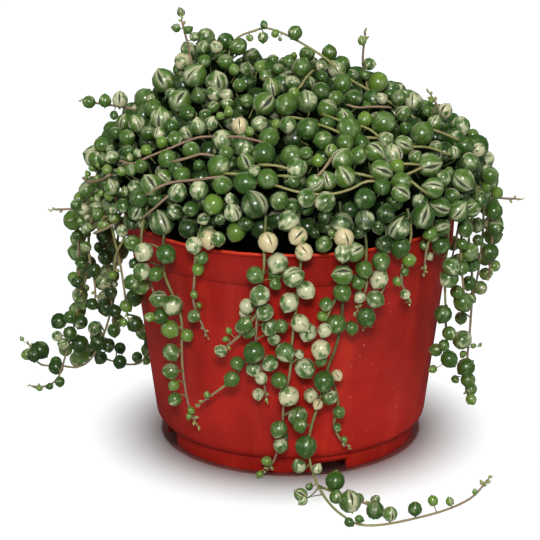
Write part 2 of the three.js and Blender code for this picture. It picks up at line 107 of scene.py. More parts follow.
@dataclass(frozen=True)
class Viewpoint:
    """Where the picture is taken from, in millimetres, and how it falls on a square picture, in pixels."""

    target_height: float = 50.0
    distance: float = 900.0
    rise: float = math.radians(19.64)
    focal: float = 2102.0
    centre: Pair = (290.5, 315.4)
    side: float = 540.0

    @property
    def place(self) -> Array:
        """The camera's place."""
        return self.target + self.distance * np.array([0.0, -math.cos(self.rise), math.sin(self.rise)])

    @property
    def target(self) -> Array:
        """The point that the camera faces."""
        return np.array([0.0, 0.0, self.target_height])

    @property
    def axes(self) -> Array:
        """Right, up and forward, as rows."""
        sine, cosine = math.sin(self.rise), math.cos(self.rise)
        return np.array([[1.0, 0.0, 0.0], [0.0, sine, cosine], [0.0, cosine, -sine]])

    def project(self, points: Array) -> Array:
        """The picture place of points: each offset from the camera, split on its axes and divided by its depth.

        Args:
            points: Places in millimetres, (n, 3).

        Returns:
            Pixels across and down, (n, 2).
        """
        right, rise, depth = self.axes @ (points - self.place).T
        return np.stack([self.centre[0] + self.focal * right / depth, self.centre[1] - self.focal * rise / depth], 1)

    def ray(self, pixel: Pair) -> Array:
        """The unit direction from the camera through a pixel."""
        flat = np.array([(pixel[0] - self.centre[0]) / self.focal, (self.centre[1] - pixel[1]) / self.focal, 1.0])
        return unit(flat @ self.axes)


@dataclass(frozen=True)
class PlantForm:
    """The outer form that the plant lies on: the pot's wall and the mound's inner mass, as in the frame's source."""

    lip_radius: float = 70.0
    pot_height: float = 100.0
    collar_drop: float = 14.0
    collar_radius: float = 68.4
    step_radius: float = 67.2
    corner_radius: float = 58.0
    corner_height: float = 12.0
    foot_radius: float = 53.5
    foot_height: float = 6.6
    foot_flare: float = 0.5
    dome: tuple[Pair, ...] = (
        (78, 112), (77, 121), (68, 129), (52, 138), (33, 145.5), (17, 148), (0, 149.5))
    rises: tuple[tuple[float, float, float, float], ...] = ((-31, 12, 17, 15), (14, 14, 6, 20))
    pearled_edge: Pair = (75.5, 108)
    dent: Triple = (0.16, -14.0, 42.0)
    lean_most: float = 8.0
    on_dome: float = 1.4
    off_shoulder: float = 2.4
    off_lip: float = 6.0
    lip_clear_height: float = 105.0
    turn_above: float = 40.0
    turn_below: float = 12.0
    near_step: float = 0.01

    def pot_radius(self, z: Array) -> Array:
        """Outer radius of the pot at a height, read off straight lines between its profile's corners."""
        collar = self.pot_height - self.collar_drop
        radii = [self.foot_radius, self.foot_radius + self.foot_flare, self.corner_radius, self.step_radius]
        wall = np.interp(z, [0, self.foot_height, self.corner_height, collar], radii)
        rim = np.interp(z, [collar, self.pot_height], [self.collar_radius, self.lip_radius])
        return np.where(z > collar, rim, wall)

    def front_scale(self, azimuth: Array) -> Array:
        """How far the mound is drawn in: 1 less a bell curve of the azimuth round the front."""
        depth, middle, spread = self.dent
        away = np.mod(azimuth - middle + 180, 360) - 180
        return 1 - depth * np.exp(-((away / spread) ** 2))

    def lean(self, z: Array) -> Array:
        """How far the mound leans to the left: the cube of the share of its height."""
        rise = np.maximum(0, z - self.pot_height) / (self.dome[-1][1] - self.pot_height)
        return self.lean_most * rise**3

    def ring(self, azimuth: Array, radius: Array, z: Array) -> Array:
        """Places from azimuth (0 is the front, 90 the right), radius and height."""
        turn = np.radians(azimuth)
        azimuth, radius, z = np.broadcast_arrays(turn, radius, z)
        return np.stack([radius * np.sin(azimuth) - self.lean(z), -radius * np.cos(azimuth), z], -1)

    def skin_radius(self, azimuth: Array, z: Array) -> Array:
        """Radius of what a stem lies on: the pot below the lip, the mound above the shoulder, a blend between."""
        radii, heights = np.array(self.dome, float).T
        shoulder, widest = heights[0], radii[0]
        mound = self.front_scale(azimuth) * np.interp(z, heights, radii)
        blend = (z - self.pot_height) / (shoulder - self.pot_height)
        between = self.lip_radius * (1 - blend) + widest * self.front_scale(azimuth) * blend
        return np.where(z <= self.pot_height, self.pot_radius(z), np.where(z >= shoulder, mound, between))

    def over(self, azimuth: float, z: float, off: float) -> Array:
        """A place that stands off the pot or the mound."""
        return self.ring(azimuth, self.skin_radius(azimuth, z) + off, z)

    def from_mound(self, azimuth: float, start: float) -> list[Array]:
        """The start of a trailing stem: down the mound and clear of the pot's lip."""
        return [
            self.over(azimuth, start, self.on_dome),
            self.over(azimuth, self.dome[0][1], self.off_shoulder),
            self.over(azimuth, self.lip_clear_height, self.off_lip),
        ]

    def rise_at(self, points: Array) -> Array:
        """How far the mound's top rises at places: a sum of bell curves of the distance from each rise."""
        made = np.zeros(points.shape[:-1])
        for x, y, height, spread in self.rises:
            away = np.hypot(points[..., 0] - x, points[..., 1] - y) / spread
            made = made + height * np.exp(-(away**2))
        return made

    def dome_point(self, azimuth: Array, share: Array) -> Array:
        """Places on the mound at an azimuth and a share of the way from its edge to its top."""
        radii, heights = np.array([self.pearled_edge, *self.dome], float).T
        steps = np.arange(len(radii)) / (len(radii) - 1)
        radius = np.interp(share, steps, radii) * self.front_scale(azimuth)
        points = self.ring(azimuth, radius, np.interp(share, steps, heights))
        return points + UP * self.rise_at(points)[..., None]

    def dome_normal(self, azimuth: Array, share: Array) -> Array:
        """Outward directions of the mound: the cross product of its two tangents, by small differences."""
        upward = self.dome_point(azimuth, np.minimum(1 - self.near_step, share + self.near_step))
        upward = upward - self.dome_point(azimuth, np.maximum(0, share - self.near_step))
        around = self.dome_point(azimuth + 1, share) - self.dome_point(azimuth - 1, share)
        return unit(np.cross(around, upward))

    def azimuth_of(self, points: Array) -> Array:
        """Azimuth of places in degrees, with the mound's lean taken out."""
        return np.degrees(np.arctan2(points[..., 0] + self.lean(points[..., 2]), -points[..., 1]))

    def outward_at(self, points: Array) -> Array:
        """The side of a stem away from the pot, turning up on the mound and near the floor."""
        z = points[..., 2:]
        rise = np.clip((z - self.pot_height) / self.turn_above, 0, 1) + np.clip(1 - z / self.turn_below, 0, 1)
        flat = points * np.array([1.0, 1.0, 0.0])
        return unit(unit(flat) * (1 - 0.7 * rise) + UP * (0.2 + rise))


@dataclass(frozen=True)
class StemLine:
    """A smooth line through a route: cubic pieces whose slope at each point is half the step between neighbours."""

    route: Array
    samples: int = 200

    def at(self, share: Array) -> Array:
        """Places at shares of the route's own parameter."""
        points = np.vstack([2 * self.route[0] - self.route[1], self.route, 2 * self.route[-1] - self.route[-2]])
        place = np.asarray(share) * (len(self.route) - 1)
        index = np.minimum(np.floor(place).astype(int), len(self.route) - 2)
        t = (place - index)[:, None]
        before, start, end, after = (points[index + k] for k in range(4))
        leave, arrive = (end - before) / 2, (after - start) / 2
        curve = start + leave * t + (3 * (end - start) - 2 * leave - arrive) * t**2
        return curve + (2 * (start - end) + leave + arrive) * t**3

    @cached_property
    def lengths(self) -> Array:
        """Distance along the line at even shares of its parameter."""
        points = self.at(np.linspace(0, 1, self.samples + 1))
        return run_lengths(points)

    @property
    def length(self) -> float:
        """The whole length."""
        return float(self.lengths[-1])

    def along(self, distance: Array) -> Array:
        """Places at distances along the line."""
        return self.at(np.interp(distance, self.lengths, np.linspace(0, 1, self.samples + 1)))

    def spaced(self, count: int) -> Array:
        """Places at even distances, with count steps."""
        return self.along(np.linspace(0, self.length, count + 1))


@dataclass
class Pearls:
    """A set of pearls as arrays, one row a pearl."""

    centre: Array
    tip: Array
    window: Array
    radius: Array
    stretch: Array
    seed: Array
    cream: Array
    # How old a pearl looks, darker green the higher; it is also raised as painted shade for inner, low and left pearls.
    age: Array
    foot: Array

    @staticmethod
    def one(centre: Array, tip: Array, window: Array, foot: Array, *marks: Any) -> "Pearls":
        """A set of one pearl, from its places and directions and its five marks in their order."""
        return Pearls(centre[None], tip[None], window[None], *(np.array([float(v)]) for v in marks), foot[None])

    @staticmethod
    def gather(*sets: "Pearls") -> "Pearls":
        """One set of several."""
        return Pearls(*(np.concatenate([getattr(one, name) for one in sets]) for name in Pearls.__annotations__))

    def keep(self, rows: Array) -> "Pearls":
        """The pearls of the rows that a mask or a list of indices names."""
        return Pearls(*(getattr(self, name)[rows] for name in Pearls.__annotations__))

    def __len__(self) -> int:
        """How many pearls there are."""
        return len(self.radius)


class Surface(NamedTuple):
    """Vertices with quads and triangles, the finish that they wear and two marks a vertex for the finishes."""

    points: Array
    quads: Array
    triangles: Array
    slot: Slot
    direction: Array
    kind: Array


def make_piece(name: str, surfaces: list[Surface], finishes: list[Finish]) -> Thing:
    """Puts surfaces into one smooth mesh, in metres, with their marks as attributes.

    Args:
        name: The piece's name.
        surfaces: What it is made of.
        finishes: Materials in the order of Slot.

    Returns:
        The new object, riding on the part's body.
    """
    starts = np.cumsum([0, *(len(s.points) for s in surfaces)])
    quads = np.concatenate([s.quads + start for s, start in zip(surfaces, starts)])
    triangles = np.concatenate([s.triangles + start for s, start in zip(surfaces, starts)])
    slots = [np.full(len(s.quads), s.slot.value) for s in surfaces]
    slots += [np.full(len(s.triangles), s.slot.value) for s in surfaces]
    corners = np.concatenate([quads.ravel(), triangles.ravel()]).astype(np.int32)
    sizes = np.concatenate([np.full(len(quads), 4), np.full(len(triangles), 3)]).astype(np.int32)
    points = np.concatenate([s.points for s in surfaces]) / 1000
    mesh = bpy.data.meshes.new(name)
    mesh.vertices.add(len(points))
    mesh.vertices.foreach_set("co", points.astype(np.float32).ravel())
    mesh.loops.add(len(corners))
    mesh.loops.foreach_set("vertex_index", corners)
    mesh.polygons.add(len(sizes))
    mesh.polygons.foreach_set("loop_start", np.concatenate([[0], np.cumsum(sizes)[:-1]]).astype(np.int32))
    mesh.polygons.foreach_set("material_index", np.concatenate(slots).astype(np.int32))
    mesh.polygons.foreach_set("use_smooth", np.ones(len(sizes), bool))
    for title, rows in (("pearl_dir", "direction"), ("pearl_kind", "kind")):
        attribute = mesh.attributes.new(title, "FLOAT_VECTOR", "POINT")
        values = np.concatenate([getattr(s, rows) for s in surfaces])
        attribute.data.foreach_set("vector", values.astype(np.float32).ravel())
    mesh.update(calc_edges=True)
    mesh.validate()
    for finish in finishes:
        mesh.materials.append(finish)
    piece = stand(name, mesh)
    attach(piece, "root")
    LOG.info("%s: %d faces", name, len(sizes))
    return piece


def grid_quads(rows: int, columns: int, closed: bool) -> Array:
    """Quads of a grid of rows by columns, whose last column meets its first one where it is closed."""
    turns = np.arange(columns if closed else columns - 1)
    row, turn = np.meshgrid(np.arange(rows - 1), turns, indexing="ij")
    after = (turn + 1) % columns
    corners = [row * columns + turn, row * columns + after, (row + 1) * columns + after, (row + 1) * columns + turn]
    return np.stack(corners, -1).reshape(-1, 4)


def fan(point: int, start: int, columns: int, flipped: bool = False) -> Array:
    """Triangles from one vertex to the sides of a closed ring of vertices, the other way round where flipped."""
    near = np.arange(columns)
    after = (near + 1) % columns
    first, second = (after, near) if flipped else (near, after)
    return np.stack([np.full(columns, point), start + first, start + second], 1)


def copies(faces: Array, count: int, each: int) -> Array:
    """A shape's faces once for each of its copies, whose vertices follow one another."""
    return (faces + (np.arange(count) * each)[:, None, None]).reshape(-1, faces.shape[1])


@dataclass(frozen=True)
class PearlShape:
    """A pearl of radius 1 with its tip up: rings at polar angles from the tip, closer beside the window's groove."""

    polar: tuple[float, ...] = (8, 30, 58, 88, 118, 148)
    around: tuple[float, ...] = (0, 11, 34, 66, 102, 141, 180, 219, 258, 294, 326, 349)
    tip_height: float = 0.15
    tip_width: float = 8.0
    groove: float = 0.05
    groove_width: float = 9.0
    foot_dent: float = 0.04
    foot_width: float = 25.0
    groove_ends: Pair = (15, 140)
    groove_fade: float = 20.0
    slimming: float = 0.3

    @cached_property
    def directions(self) -> Array:
        """Unit directions of the vertices: the tip's pole, the rings, the foot's pole."""
        polar, around = np.meshgrid(np.radians(self.polar), np.radians(self.around), indexing="ij")
        ring = np.stack([np.sin(polar) * np.cos(around), np.sin(polar) * np.sin(around), np.cos(polar)], -1)
        return np.vstack([UP, ring.reshape(-1, 3), -UP])

    @cached_property
    def reach(self) -> Array:
        """Distance of each vertex from the middle: 1, more by a bell curve at the tip, less in groove and at foot."""
        polar = np.degrees(np.arccos(np.clip(self.directions[:, 2], -1, 1)))
        turn = np.degrees(np.abs(np.arctan2(self.directions[:, 1], self.directions[:, 0])))
        start, end = self.groove_ends
        band = np.clip((polar - start) / self.groove_fade, 0, 1) * np.clip((end - polar) / self.groove_fade, 0, 1)
        tip = self.tip_height * np.exp(-((polar / self.tip_width) ** 2))
        groove = self.groove * np.exp(-((turn / self.groove_width) ** 2)) * band
        return 1 + tip - groove - self.foot_dent * np.exp(-(((180 - polar) / self.foot_width) ** 2))

    @cached_property
    def quads(self) -> Array:
        """Faces between the rings."""
        return grid_quads(len(self.polar), len(self.around), True)[:, ::-1] + 1

    @cached_property
    def triangles(self) -> Array:
        """Faces round the two poles."""
        columns = len(self.around)
        last = 1 + (len(self.polar) - 1) * columns
        return np.vstack([fan(0, 1, columns), fan(last + columns, last, columns, flipped=True)])

    def surface(self, pearls: Pearls) -> Surface:
        """Copies the shape to each pearl: the upper half drawn out by its stretch, turned to its tip and window.

        Args:
            pearls: The pearls to draw.

        Returns:
            One surface of them all.
        """
        count, each = len(pearls), len(self.directions)
        local = self.directions * self.reach[:, None]
        upper = np.clip(local[:, 2], 0, 2)
        long = 1 + (pearls.stretch[:, None] - 1) * upper
        slim = 1 - self.slimming * (pearls.stretch[:, None] - 1) * upper**2
        side = np.cross(pearls.tip, pearls.window)
        points = pearls.centre[:, None] + pearls.radius[:, None, None] * (
            (local[:, 0] * slim)[..., None] * pearls.window[:, None]
            + (local[:, 1] * slim)[..., None] * side[:, None]
            + (local[:, 2] * long)[..., None] * pearls.tip[:, None]
        )
        kind = np.stack([pearls.seed, pearls.cream, pearls.age], 1)
        return Surface(points.reshape(-1, 3), copies(self.quads, count, each), copies(self.triangles, count, each),
                       Slot.PEARL, np.tile(self.directions, (count, 1)), np.repeat(kind, each, axis=0))


@dataclass(frozen=True)
class PearlShapes:
    """A finer shape for pearls and a plainer one for small pearls and leaf tips."""

    large: PearlShape = PearlShape()
    small: PearlShape = PearlShape(polar=(15, 48, 88, 132), around=(0, 40, 85, 132, 180, 228, 275, 320))
    small_below: float = 2.4

    def surfaces(self, pearls: Pearls) -> list[Surface]:
        """One surface of the large pearls and one of the small ones."""
        small = pearls.radius < self.small_below
        return [self.large.surface(pearls.keep(~small)), self.small.surface(pearls.keep(small))]


@dataclass(frozen=True)
class StalkShape:
    """The short stalks that carry pearls: bent tubes from a stem to each pearl's foot, wider at both ends."""

    sides: int = 5
    steps: int = 4
    radius: float = 0.36
    flare: float = 0.3
    top: float = 0.9
    bend: float = 1.35
    full_pearl: float = 3.5
    widths: Pair = (0.45, 1.15)

    def surface(self, pearls: Pearls) -> Surface:
        """Sweeps each stalk's ring along a curve of second degree from the stem to the pearl's foot.

        Args:
            pearls: The pearls that the stalks carry.

        Returns:
            One surface of all the stalks.
        """
        top, bend = (pearls.centre - pearls.tip * pearls.radius[:, None] * part for part in (self.top, self.bend))
        share = np.linspace(0, 1, self.steps)[None, :, None]
        path = (1 - share) ** 2 * pearls.foot[:, None] + 2 * share * (1 - share) * bend[:, None]
        path = path + share**2 * top[:, None]
        heading = unit(np.gradient(path, axis=1) + 1e-6)
        first = across(np.broadcast_to(pearls.window[:, None] + 0.01, path.shape), heading)
        second = np.cross(heading, first)
        turn = np.arange(self.sides) * 2 * math.pi / self.sides
        width = self.radius * (1 + self.flare * (2 * share[0, :, 0] - 1) ** 2)
        width = width[None, :, None, None] * np.clip(pearls.radius / self.full_pearl, *self.widths)[:, None, None, None]
        points = path[:, :, None] + width * swung(first[:, :, None], second[:, :, None], turn)
        count, each = len(pearls), self.steps * self.sides
        kind = np.stack([pearls.seed, pearls.cream, 0.45 + 0.5 * pearls.age], 1)
        quads = copies(grid_quads(self.steps, self.sides, True), count, each)
        return Surface(points.reshape(-1, 3), quads, np.zeros((0, 3), int), Slot.STEM,
                       np.zeros((count * each, 3)), np.repeat(kind, each, axis=0))


@dataclass(frozen=True)
class StemShape:
    """A long thin stem: a round section carried along its line, slimmer to the tip, swollen at each leaf joint."""

    form: PlantForm
    sides: int = 7
    step: float = 2.4
    old_radius: float = 0.6
    young_radius: float = 0.42
    swelling: float = 0.16
    joint_step: float = 5.75
    taper: float = 0.7
    tip_share: float = 0.4
    tip_length: float = 0.3
    wander: float = 0.28
    wander_step: float = 5.1

    def surface(self, line: StemLine, seed: int, age: Pair = (1.0, 0.0)) -> Surface:
        """Sweeps the section along the line and closes it with a point at each end.

        Args:
            line: The stem's line.
            seed: Its number for draws.
            age: How old it looks at its start and at its tip; at 1 the bark is near black, a painted shade.

        Returns:
            The stem's surface.
        """
        count = max(6, int(line.length / self.step))
        distance = np.linspace(0, line.length, count)
        share = distance / line.length
        path = line.along(distance)
        heading = unit(np.gradient(path, axis=0))
        first = across(self.form.outward_at(path), heading)
        second = np.cross(heading, first)
        wander = np.sin(distance / self.wander_step + 9 * draw(seed, 1)) * self.wander * np.sin(math.pi * share)
        path = path + second * wander[:, None]
        radius = self.young_radius + (self.old_radius - self.young_radius) * (1 - share) ** self.taper
        joint = np.cos(2 * math.pi * distance / self.joint_step)
        radius = radius * (1 + self.swelling * np.clip(joint, 0, 1) ** 3)
        radius[-1] *= self.tip_share
        turn = np.arange(self.sides) * 2 * math.pi / self.sides
        ring = swung(first[:, None], second[:, None], turn)
        points = (path[:, None] + radius[:, None, None] * ring).reshape(-1, 3)
        points = np.vstack([points, path[:1], path[-1:] + heading[-1:] * self.tip_length])
        caps = np.vstack([fan(len(points) - 2, 0, self.sides, flipped=True),
                          fan(len(points) - 1, (count - 1) * self.sides, self.sides)])
        age_and_shade = np.repeat(age[0] + (age[1] - age[0]) * share, self.sides)
        age_and_shade = np.concatenate([age_and_shade, age])
        kind = np.stack([np.full(len(points), draw(seed, 5)), np.zeros(len(points)), age_and_shade], 1)
        return Surface(points, grid_quads(count, self.sides, True), caps, Slot.STEM, points / 10, kind)


@dataclass
class PearlRule:
    """Places pearls as the frame's source does: by draws, clear of the pot, of the floor and of one another."""

    form: PlantForm
    pitch: float = 11.5
    bulge: float = 1.08
    tip: float = 1.3
    stalk: float = 0.5
    taper: float = 0.45
    gap: float = 0.5
    floor_gap: float = 0.2
    stem_radius: float = 1.05
    stem_step: float = 9.0
    close_step: float = 2.5
    swings: tuple[float, float, int] = (20, 85, 8)
    lift: float = 0.25
    dome_most: int = 123
    dome_trials: int = 6000
    dome_sizes: Pair = (4.1, 1.2)
    dome_apart: float = 10.2
    dome_seed: int = 900
    sunk: float = 0.6

    def stem_points(self, route: Array) -> Array:
        """The stem as the frame has it: straight steps between even places."""
        line = StemLine(route)
        return line.spaced(int(line.length / self.stem_step + 0.5))

    def close_points(self, routes: list[Array]) -> Array:
        """Places every few millimetres along stems."""
        found = [np.zeros((0, 3))]
        for route in routes:
            points = self.stem_points(route)
            lengths = run_lengths(points)
            even = np.linspace(0, lengths[-1], math.ceil(lengths[-1] / self.close_step) + 1)
            found.append(np.stack([np.interp(even, lengths, points[:, k]) for k in range(3)], 1))
        return np.concatenate(found)

    def touches(self, centre: Array, tip: Array, radius: float, others: Pearls) -> bool:
        """Whether a pearl or its tip comes nearer to another, or to its tip, than the gap that they keep."""
        reach, other_reach = radius * self.bulge, others.radius * self.bulge
        end = centre + tip * radius * self.tip
        other_end = others.centre + others.tip * (others.radius * self.tip)[:, None]
        near = np.linalg.norm(others.centre - centre, axis=1) < reach + other_reach + self.gap
        near |= np.linalg.norm(others.centre - end, axis=1) < other_reach + self.gap
        return bool(np.any(near | (np.linalg.norm(other_end - centre, axis=1) < reach + self.gap)))

    def is_clear(self, centre: Array, tip: Array, radius: float, others: Pearls, stems: Array) -> bool:
        """Whether a pearl is clear of pot, mound, floor, other pearls and other stems.

        Args:
            centre: Its middle.
            tip: The direction of its tip.
            radius: Its radius.
            others: The other pearls.
            stems: Places on the other stems.

        Returns:
            True where it is.
        """
        reach = radius * self.bulge
        if centre[2] < reach + self.floor_gap:
            return False
        ground = self.form.skin_radius(self.form.azimuth_of(centre), min(centre[2], self.form.dome[-2][1]))
        if math.hypot(centre[0] + self.form.lean(centre[2]), centre[1]) < ground + reach + self.gap:
            return False
        if len(others) and self.touches(centre, tip, radius, others):
            return False
        return bool(np.all(np.linalg.norm(stems - centre, axis=1) > reach + self.stem_radius + self.gap))

    def place(self, points: Array, distance: float) -> tuple[Array, Array, Array]:
        """A place along the straight steps of a stem, the side away from the pot there and the side across it."""
        lengths = run_lengths(points)
        step = min(len(points) - 2, int(np.searchsorted(lengths, distance, side="left")) - 1)
        along = unit(points[step + 1] - points[step])
        base = points[step] + along * (distance - lengths[step])
        outward = across(self.form.outward_at(base), along)
        return base, outward, np.cross(along, outward)

    def stem_pearls(self, route: Array, sizes: Pair, seed: int, others: Pearls, stems: Array,
                    shift: float = 0.5, salt: int = 0, squeeze: float = 1.0) -> Pearls:
        """The pearls of one stem, alternating from side to side, smaller towards its tip.

        Args:
            route: The stem's route.
            sizes: Radius of its oldest and of its youngest pearl.
            seed: Its number for draws.
            others: Pearls that are there already.
            stems: Places on the other stems.
            shift: Where in each pitch a pearl stands.
            salt: Added to the draws' numbers, so that a second row differs from the first.
            squeeze: The share of its radius by which a pearl is tested.

        Returns:
            The pearls that found room.
        """
        points = self.stem_points(route)
        total = float(run_lengths(points)[-1])
        least, most, tries = self.swings
        made = empty_pearls()
        index = 0
        while self.pitch * (index + shift) < total - sizes[1]:
            distance = self.pitch * (index + shift)
            base, outward, side = self.place(points, max(distance, 0.01))
            size = sizes[1] + (sizes[0] - sizes[1]) * (1 - distance / total) ** self.taper
            radius = float(size * (0.9 + 0.2 * draw(seed, index + salt)))
            for attempt in range(tries):
                swing = least + (most - least) * draw(seed, index + salt, attempt + 1)
                angle = math.radians(float(swing)) * (1 if (index + attempt + (salt > 0)) % 2 else -1)
                tip = unit(swung(outward, side, angle) + UP * self.lift)
                centre = base + tip * (radius + self.stalk)
                if self.is_clear(centre, tip, radius * squeeze, Pearls.gather(others, made), stems):
                    pearl = self.pearl(centre, tip, radius, base, 1 - distance / total, seed, index + salt)
                    made = Pearls.gather(made, pearl)
                    break
            index += 1
        return made

    def pearl(self, centre: Array, tip: Array, radius: float, foot: Array, age: float, seed: int, index: int) -> Pearls:
        """One pearl, with its window turned part of the way round from the light by a draw."""
        light = unit(self.form.outward_at(centre) + 0.5 * UP)
        turn = math.radians(360 * float(draw(seed, index, 31)))
        window = across(light, tip)
        window = swung(window, np.cross(tip, window), turn)
        cream = 0.12 + 0.5 * float(draw(seed, index, 32)) ** 1.4
        stretch = 1.0 + 0.4 * max(0.0, 1 - radius / 3.0) + 0.06 * float(draw(seed, index, 33))
        return Pearls.one(centre, tip, window, foot, radius, stretch, draw(seed, index, 34), cream, age)

    def dome_pearls(self, trail_pearls: Pearls, stems: Array) -> Pearls:
        """The frame's pearls all over the mound, kept clear of the trailing stems and their pearls.

        Args:
            trail_pearls: The pearls of the trailing stems.
            stems: Places on the trailing stems.

        Returns:
            The mound's pearls.
        """
        made, form = empty_pearls(), self.form
        trial = np.arange(self.dome_trials)
        azimuth, share = 360 * draw(trial, 1), draw(trial, 2)
        surface, normal = form.dome_point(azimuth, share), form.dome_normal(azimuth, share)
        radius = self.dome_sizes[0] + self.dome_sizes[1] * draw(trial, 4)
        centre = surface + normal * (radius * self.sunk)[:, None]
        thin = draw(trial, 3) * form.dome[0][0] > np.hypot(surface[:, 0], surface[:, 1]) + 12
        low = centre[:, 2] < form.pot_height + radius * self.bulge + self.gap
        for i in np.flatnonzero(~thin & ~low):
            if len(made) >= self.dome_most:
                break
            reach = radius[i] * self.bulge + self.gap
            if len(made) and np.any(np.linalg.norm(made.centre - centre[i], axis=1) < self.dome_apart):
                continue
            if self.touches(centre[i], normal[i], radius[i], trail_pearls):
                continue
            if np.all(np.linalg.norm(stems - centre[i], axis=1) >= reach + self.stem_radius):
                foot = surface[i] - normal[i] * 2
                pearl = self.pearl(centre[i], normal[i], radius[i], foot, 0.9, self.dome_seed, int(i))
                made = Pearls.gather(made, pearl)
        return made


def empty_pearls() -> Pearls:
    """A set of no pearls."""
    flat, deep = np.zeros(0), np.zeros((0, 3))
    return Pearls(deep, deep, deep, flat, flat, flat, flat, flat, deep)


class Look(Enum):
    """How a listed pearl is coloured: how creamy it is, and its age, where 1 is the darkest green."""

    CREAM = (1.0, 0.55)
    PALE = (0.78, 0.8)
    MARBLED = (0.5, 0.85)
    SPLIT = (0.3, 0.75)
    GREEN = (0.2, 0.8)
    DARK = (0.08, 0.9)
    BRIGHT = (0.15, 0.38)
    # Painted shade: the darkest green, for pearls that lie in the shade of the mound.
    SHADED = (0.04, 0.98)


class Spot(NamedTuple):
    """One listed pearl: pixels across and down, its width in millimetres, its look, and where its tip points, in
    degrees from the right, anticlockwise."""

    across: float
    down: float
    width: float
    look: Look
    tip: float


SpotTable = dict[Look, list[tuple[float, ...]]]

FRONT_SPOTS: SpotTable = {
    Look.CREAM: [(268, 242, 8), (298, 236, 7.6), (304, 252, 7.2), (344, 238, 8, 100), (337, 375, 4.8), (318, 404, 4.4)],
    Look.SPLIT: [(343, 275, 8.2, 180), (354, 252, 8, 30)],
    Look.PALE: [
        (278, 263, 8.4), (306, 290, 7.4), (247, 306, 6.3), (245, 313, 5), (325, 330, 5.8), (311, 395, 6),
        (289, 302, 7.8), (300, 323, 7.4), (289, 396, 8.4), (258, 394, 4.8), (321, 349, 8), (379, 279, 7.6),
        (360, 297, 4.8), (405, 294, 4.4), (299, 354, 4.2), (261, 378, 5.2),
    ],
    Look.MARBLED: [
        (260, 295, 8.2), (293, 277, 8.6, 20), (265, 312, 7.2), (274, 339, 5.4), (270, 327, 7.2), (298, 416, 8.4),
        (285, 352, 8), (270, 363, 7), (305, 368, 8.4), (330, 397, 6.4), (375, 299, 7.4, -30), (221, 351, 5.2, 150),
        (308, 332, 7.6), (253, 369, 6), (281, 445, 6.4), (343, 253, 7), (242, 327, 5.8),
    ],
    Look.GREEN: [
        (255, 275, 7), (275, 275, 5.6), (275, 284, 4.8), (245, 324, 6), (249, 332, 5.4), (281, 326, 5.6),
        (237, 363, 5.8), (279, 380, 6.8), (232, 379, 6.6), (300, 425, 6), (279, 429, 7.2), (321, 360, 5.2),
        (336, 324, 8.2), (352, 328, 5.4, -90), (326, 304, 5.6), (342, 292, 7.4), (358, 282, 6), (364, 269, 7),
        (381, 261, 7.4), (405, 271, 3.6), (324, 244, 6.8), (339, 412, 5.2), (337, 427, 3.8),
    ],
    Look.DARK: [(254, 352, 8.8), (306, 446, 9), (324, 381, 8.6), (282, 436, 5.6), (400, 247, 8.4), (366, 317, 7.8)],
    Look.BRIGHT: [
        (322, 316, 4.4), (409, 260, 5.6, 10), (397, 281, 4, -60), (267, 461, 4.4, 180), (260, 474, 3.2, -120),
        (344, 439, 2.8, -60), (229, 331, 2.8, 120), (226, 339, 2.6, 200), (207, 395, 2.8, 100),
    ],
}
LEFT_FRONT_SPOTS: SpotTable = {
    Look.CREAM: [(209, 239, 7.8)],
    Look.PALE: [(144, 252, 7.8), (194, 245, 6.8)],
    Look.MARBLED: [(173, 305, 8.2), (142, 271, 7.4), (218, 239, 6)],
    Look.GREEN: [
        (156, 274, 6.2), (159, 299, 7.4, 180), (171, 352, 7.2, -60), (171, 371, 7, 180), (202, 258, 5.4),
        (194, 316, 5.4), (175, 399, 5.8),
    ],
    Look.DARK: [(166, 254, 8.2), (132, 282, 6.6), (161, 316, 6.6)],
    Look.BRIGHT: [
        (170, 329, 7.6), (187, 335, 5.4), (174, 385, 4.8), (191, 410, 3.2, -40), (189, 416, 2.8, -100), (198, 269, 5),
        (194, 294, 3.2), (199, 305, 2.4), (150, 317, 4.4, 180),
    ],
}
FLOOR_SPOTS: SpotTable = {
    Look.SPLIT: [(301, 499, 5.6, 150), (390, 514, 6, 85)],
    Look.MARBLED: [(299, 466, 6, 110), (303, 508, 4, 220), (350, 507, 9.2, 100)],
    Look.PALE: [(317, 469, 4.4, 60)],
    Look.GREEN: [
        (309, 487, 3.2, 60), (336, 497, 5.6, 70), (359, 499, 4.4, 90), (375, 500, 4, 45), (359, 519, 3.6, -20),
    ],
    Look.DARK: [(335, 481, 8, 80), (349, 522, 4, -40), (375, 514, 7.4, 80), (415, 509, 5.8, 90)],
    Look.BRIGHT: [(433, 501, 4.4, 105), (450, 502, 3.6, 110), (475, 492, 2.4, 100), (485, 485, 1.4, 60)],
}
RIGHT_SPOTS: SpotTable = {
    Look.PALE: [(432, 234, 6.2), (484, 246, 3), (429, 256, 3.7)],
    Look.SPLIT: [(441, 227, 6.8, 40), (458, 212, 7.6, 45), (470, 207, 5.9, 30)],
    Look.MARBLED: [
        (465, 229, 6.8), (477, 225, 6.6), (449, 278, 8.2), (471, 298, 4.5), (462, 340, 8.4, 40), (451, 266, 7.6, -60),
    ],
    Look.GREEN: [
        (478, 240, 5), (462, 244, 5), (462, 268, 6), (457, 292, 5.9), (463, 302, 8.4, -60), (461, 318, 5.5),
        (449, 333, 5.9), (436, 350, 5.7, 180), (444, 345, 4.8), (468, 380, 6.6), (471, 389, 5.4), (424, 245, 4.2),
    ],
    Look.DARK: [
        (495, 228, 6.8, 0), (490, 252, 7.6), (472, 264, 6.8), (469, 283, 6.3), (443, 314, 7.6), (449, 359, 7.4),
        (466, 367, 8), (441, 245, 7.6), (494, 211, 7.6),
    ],
    Look.BRIGHT: [
        (433, 369, 3.7, 200), (463, 354, 3.2), (473, 346, 2.4, 30), (480, 345, 1.8, 60), (455, 379, 3.6),
        (471, 399, 4.8, -60),
    ],
}
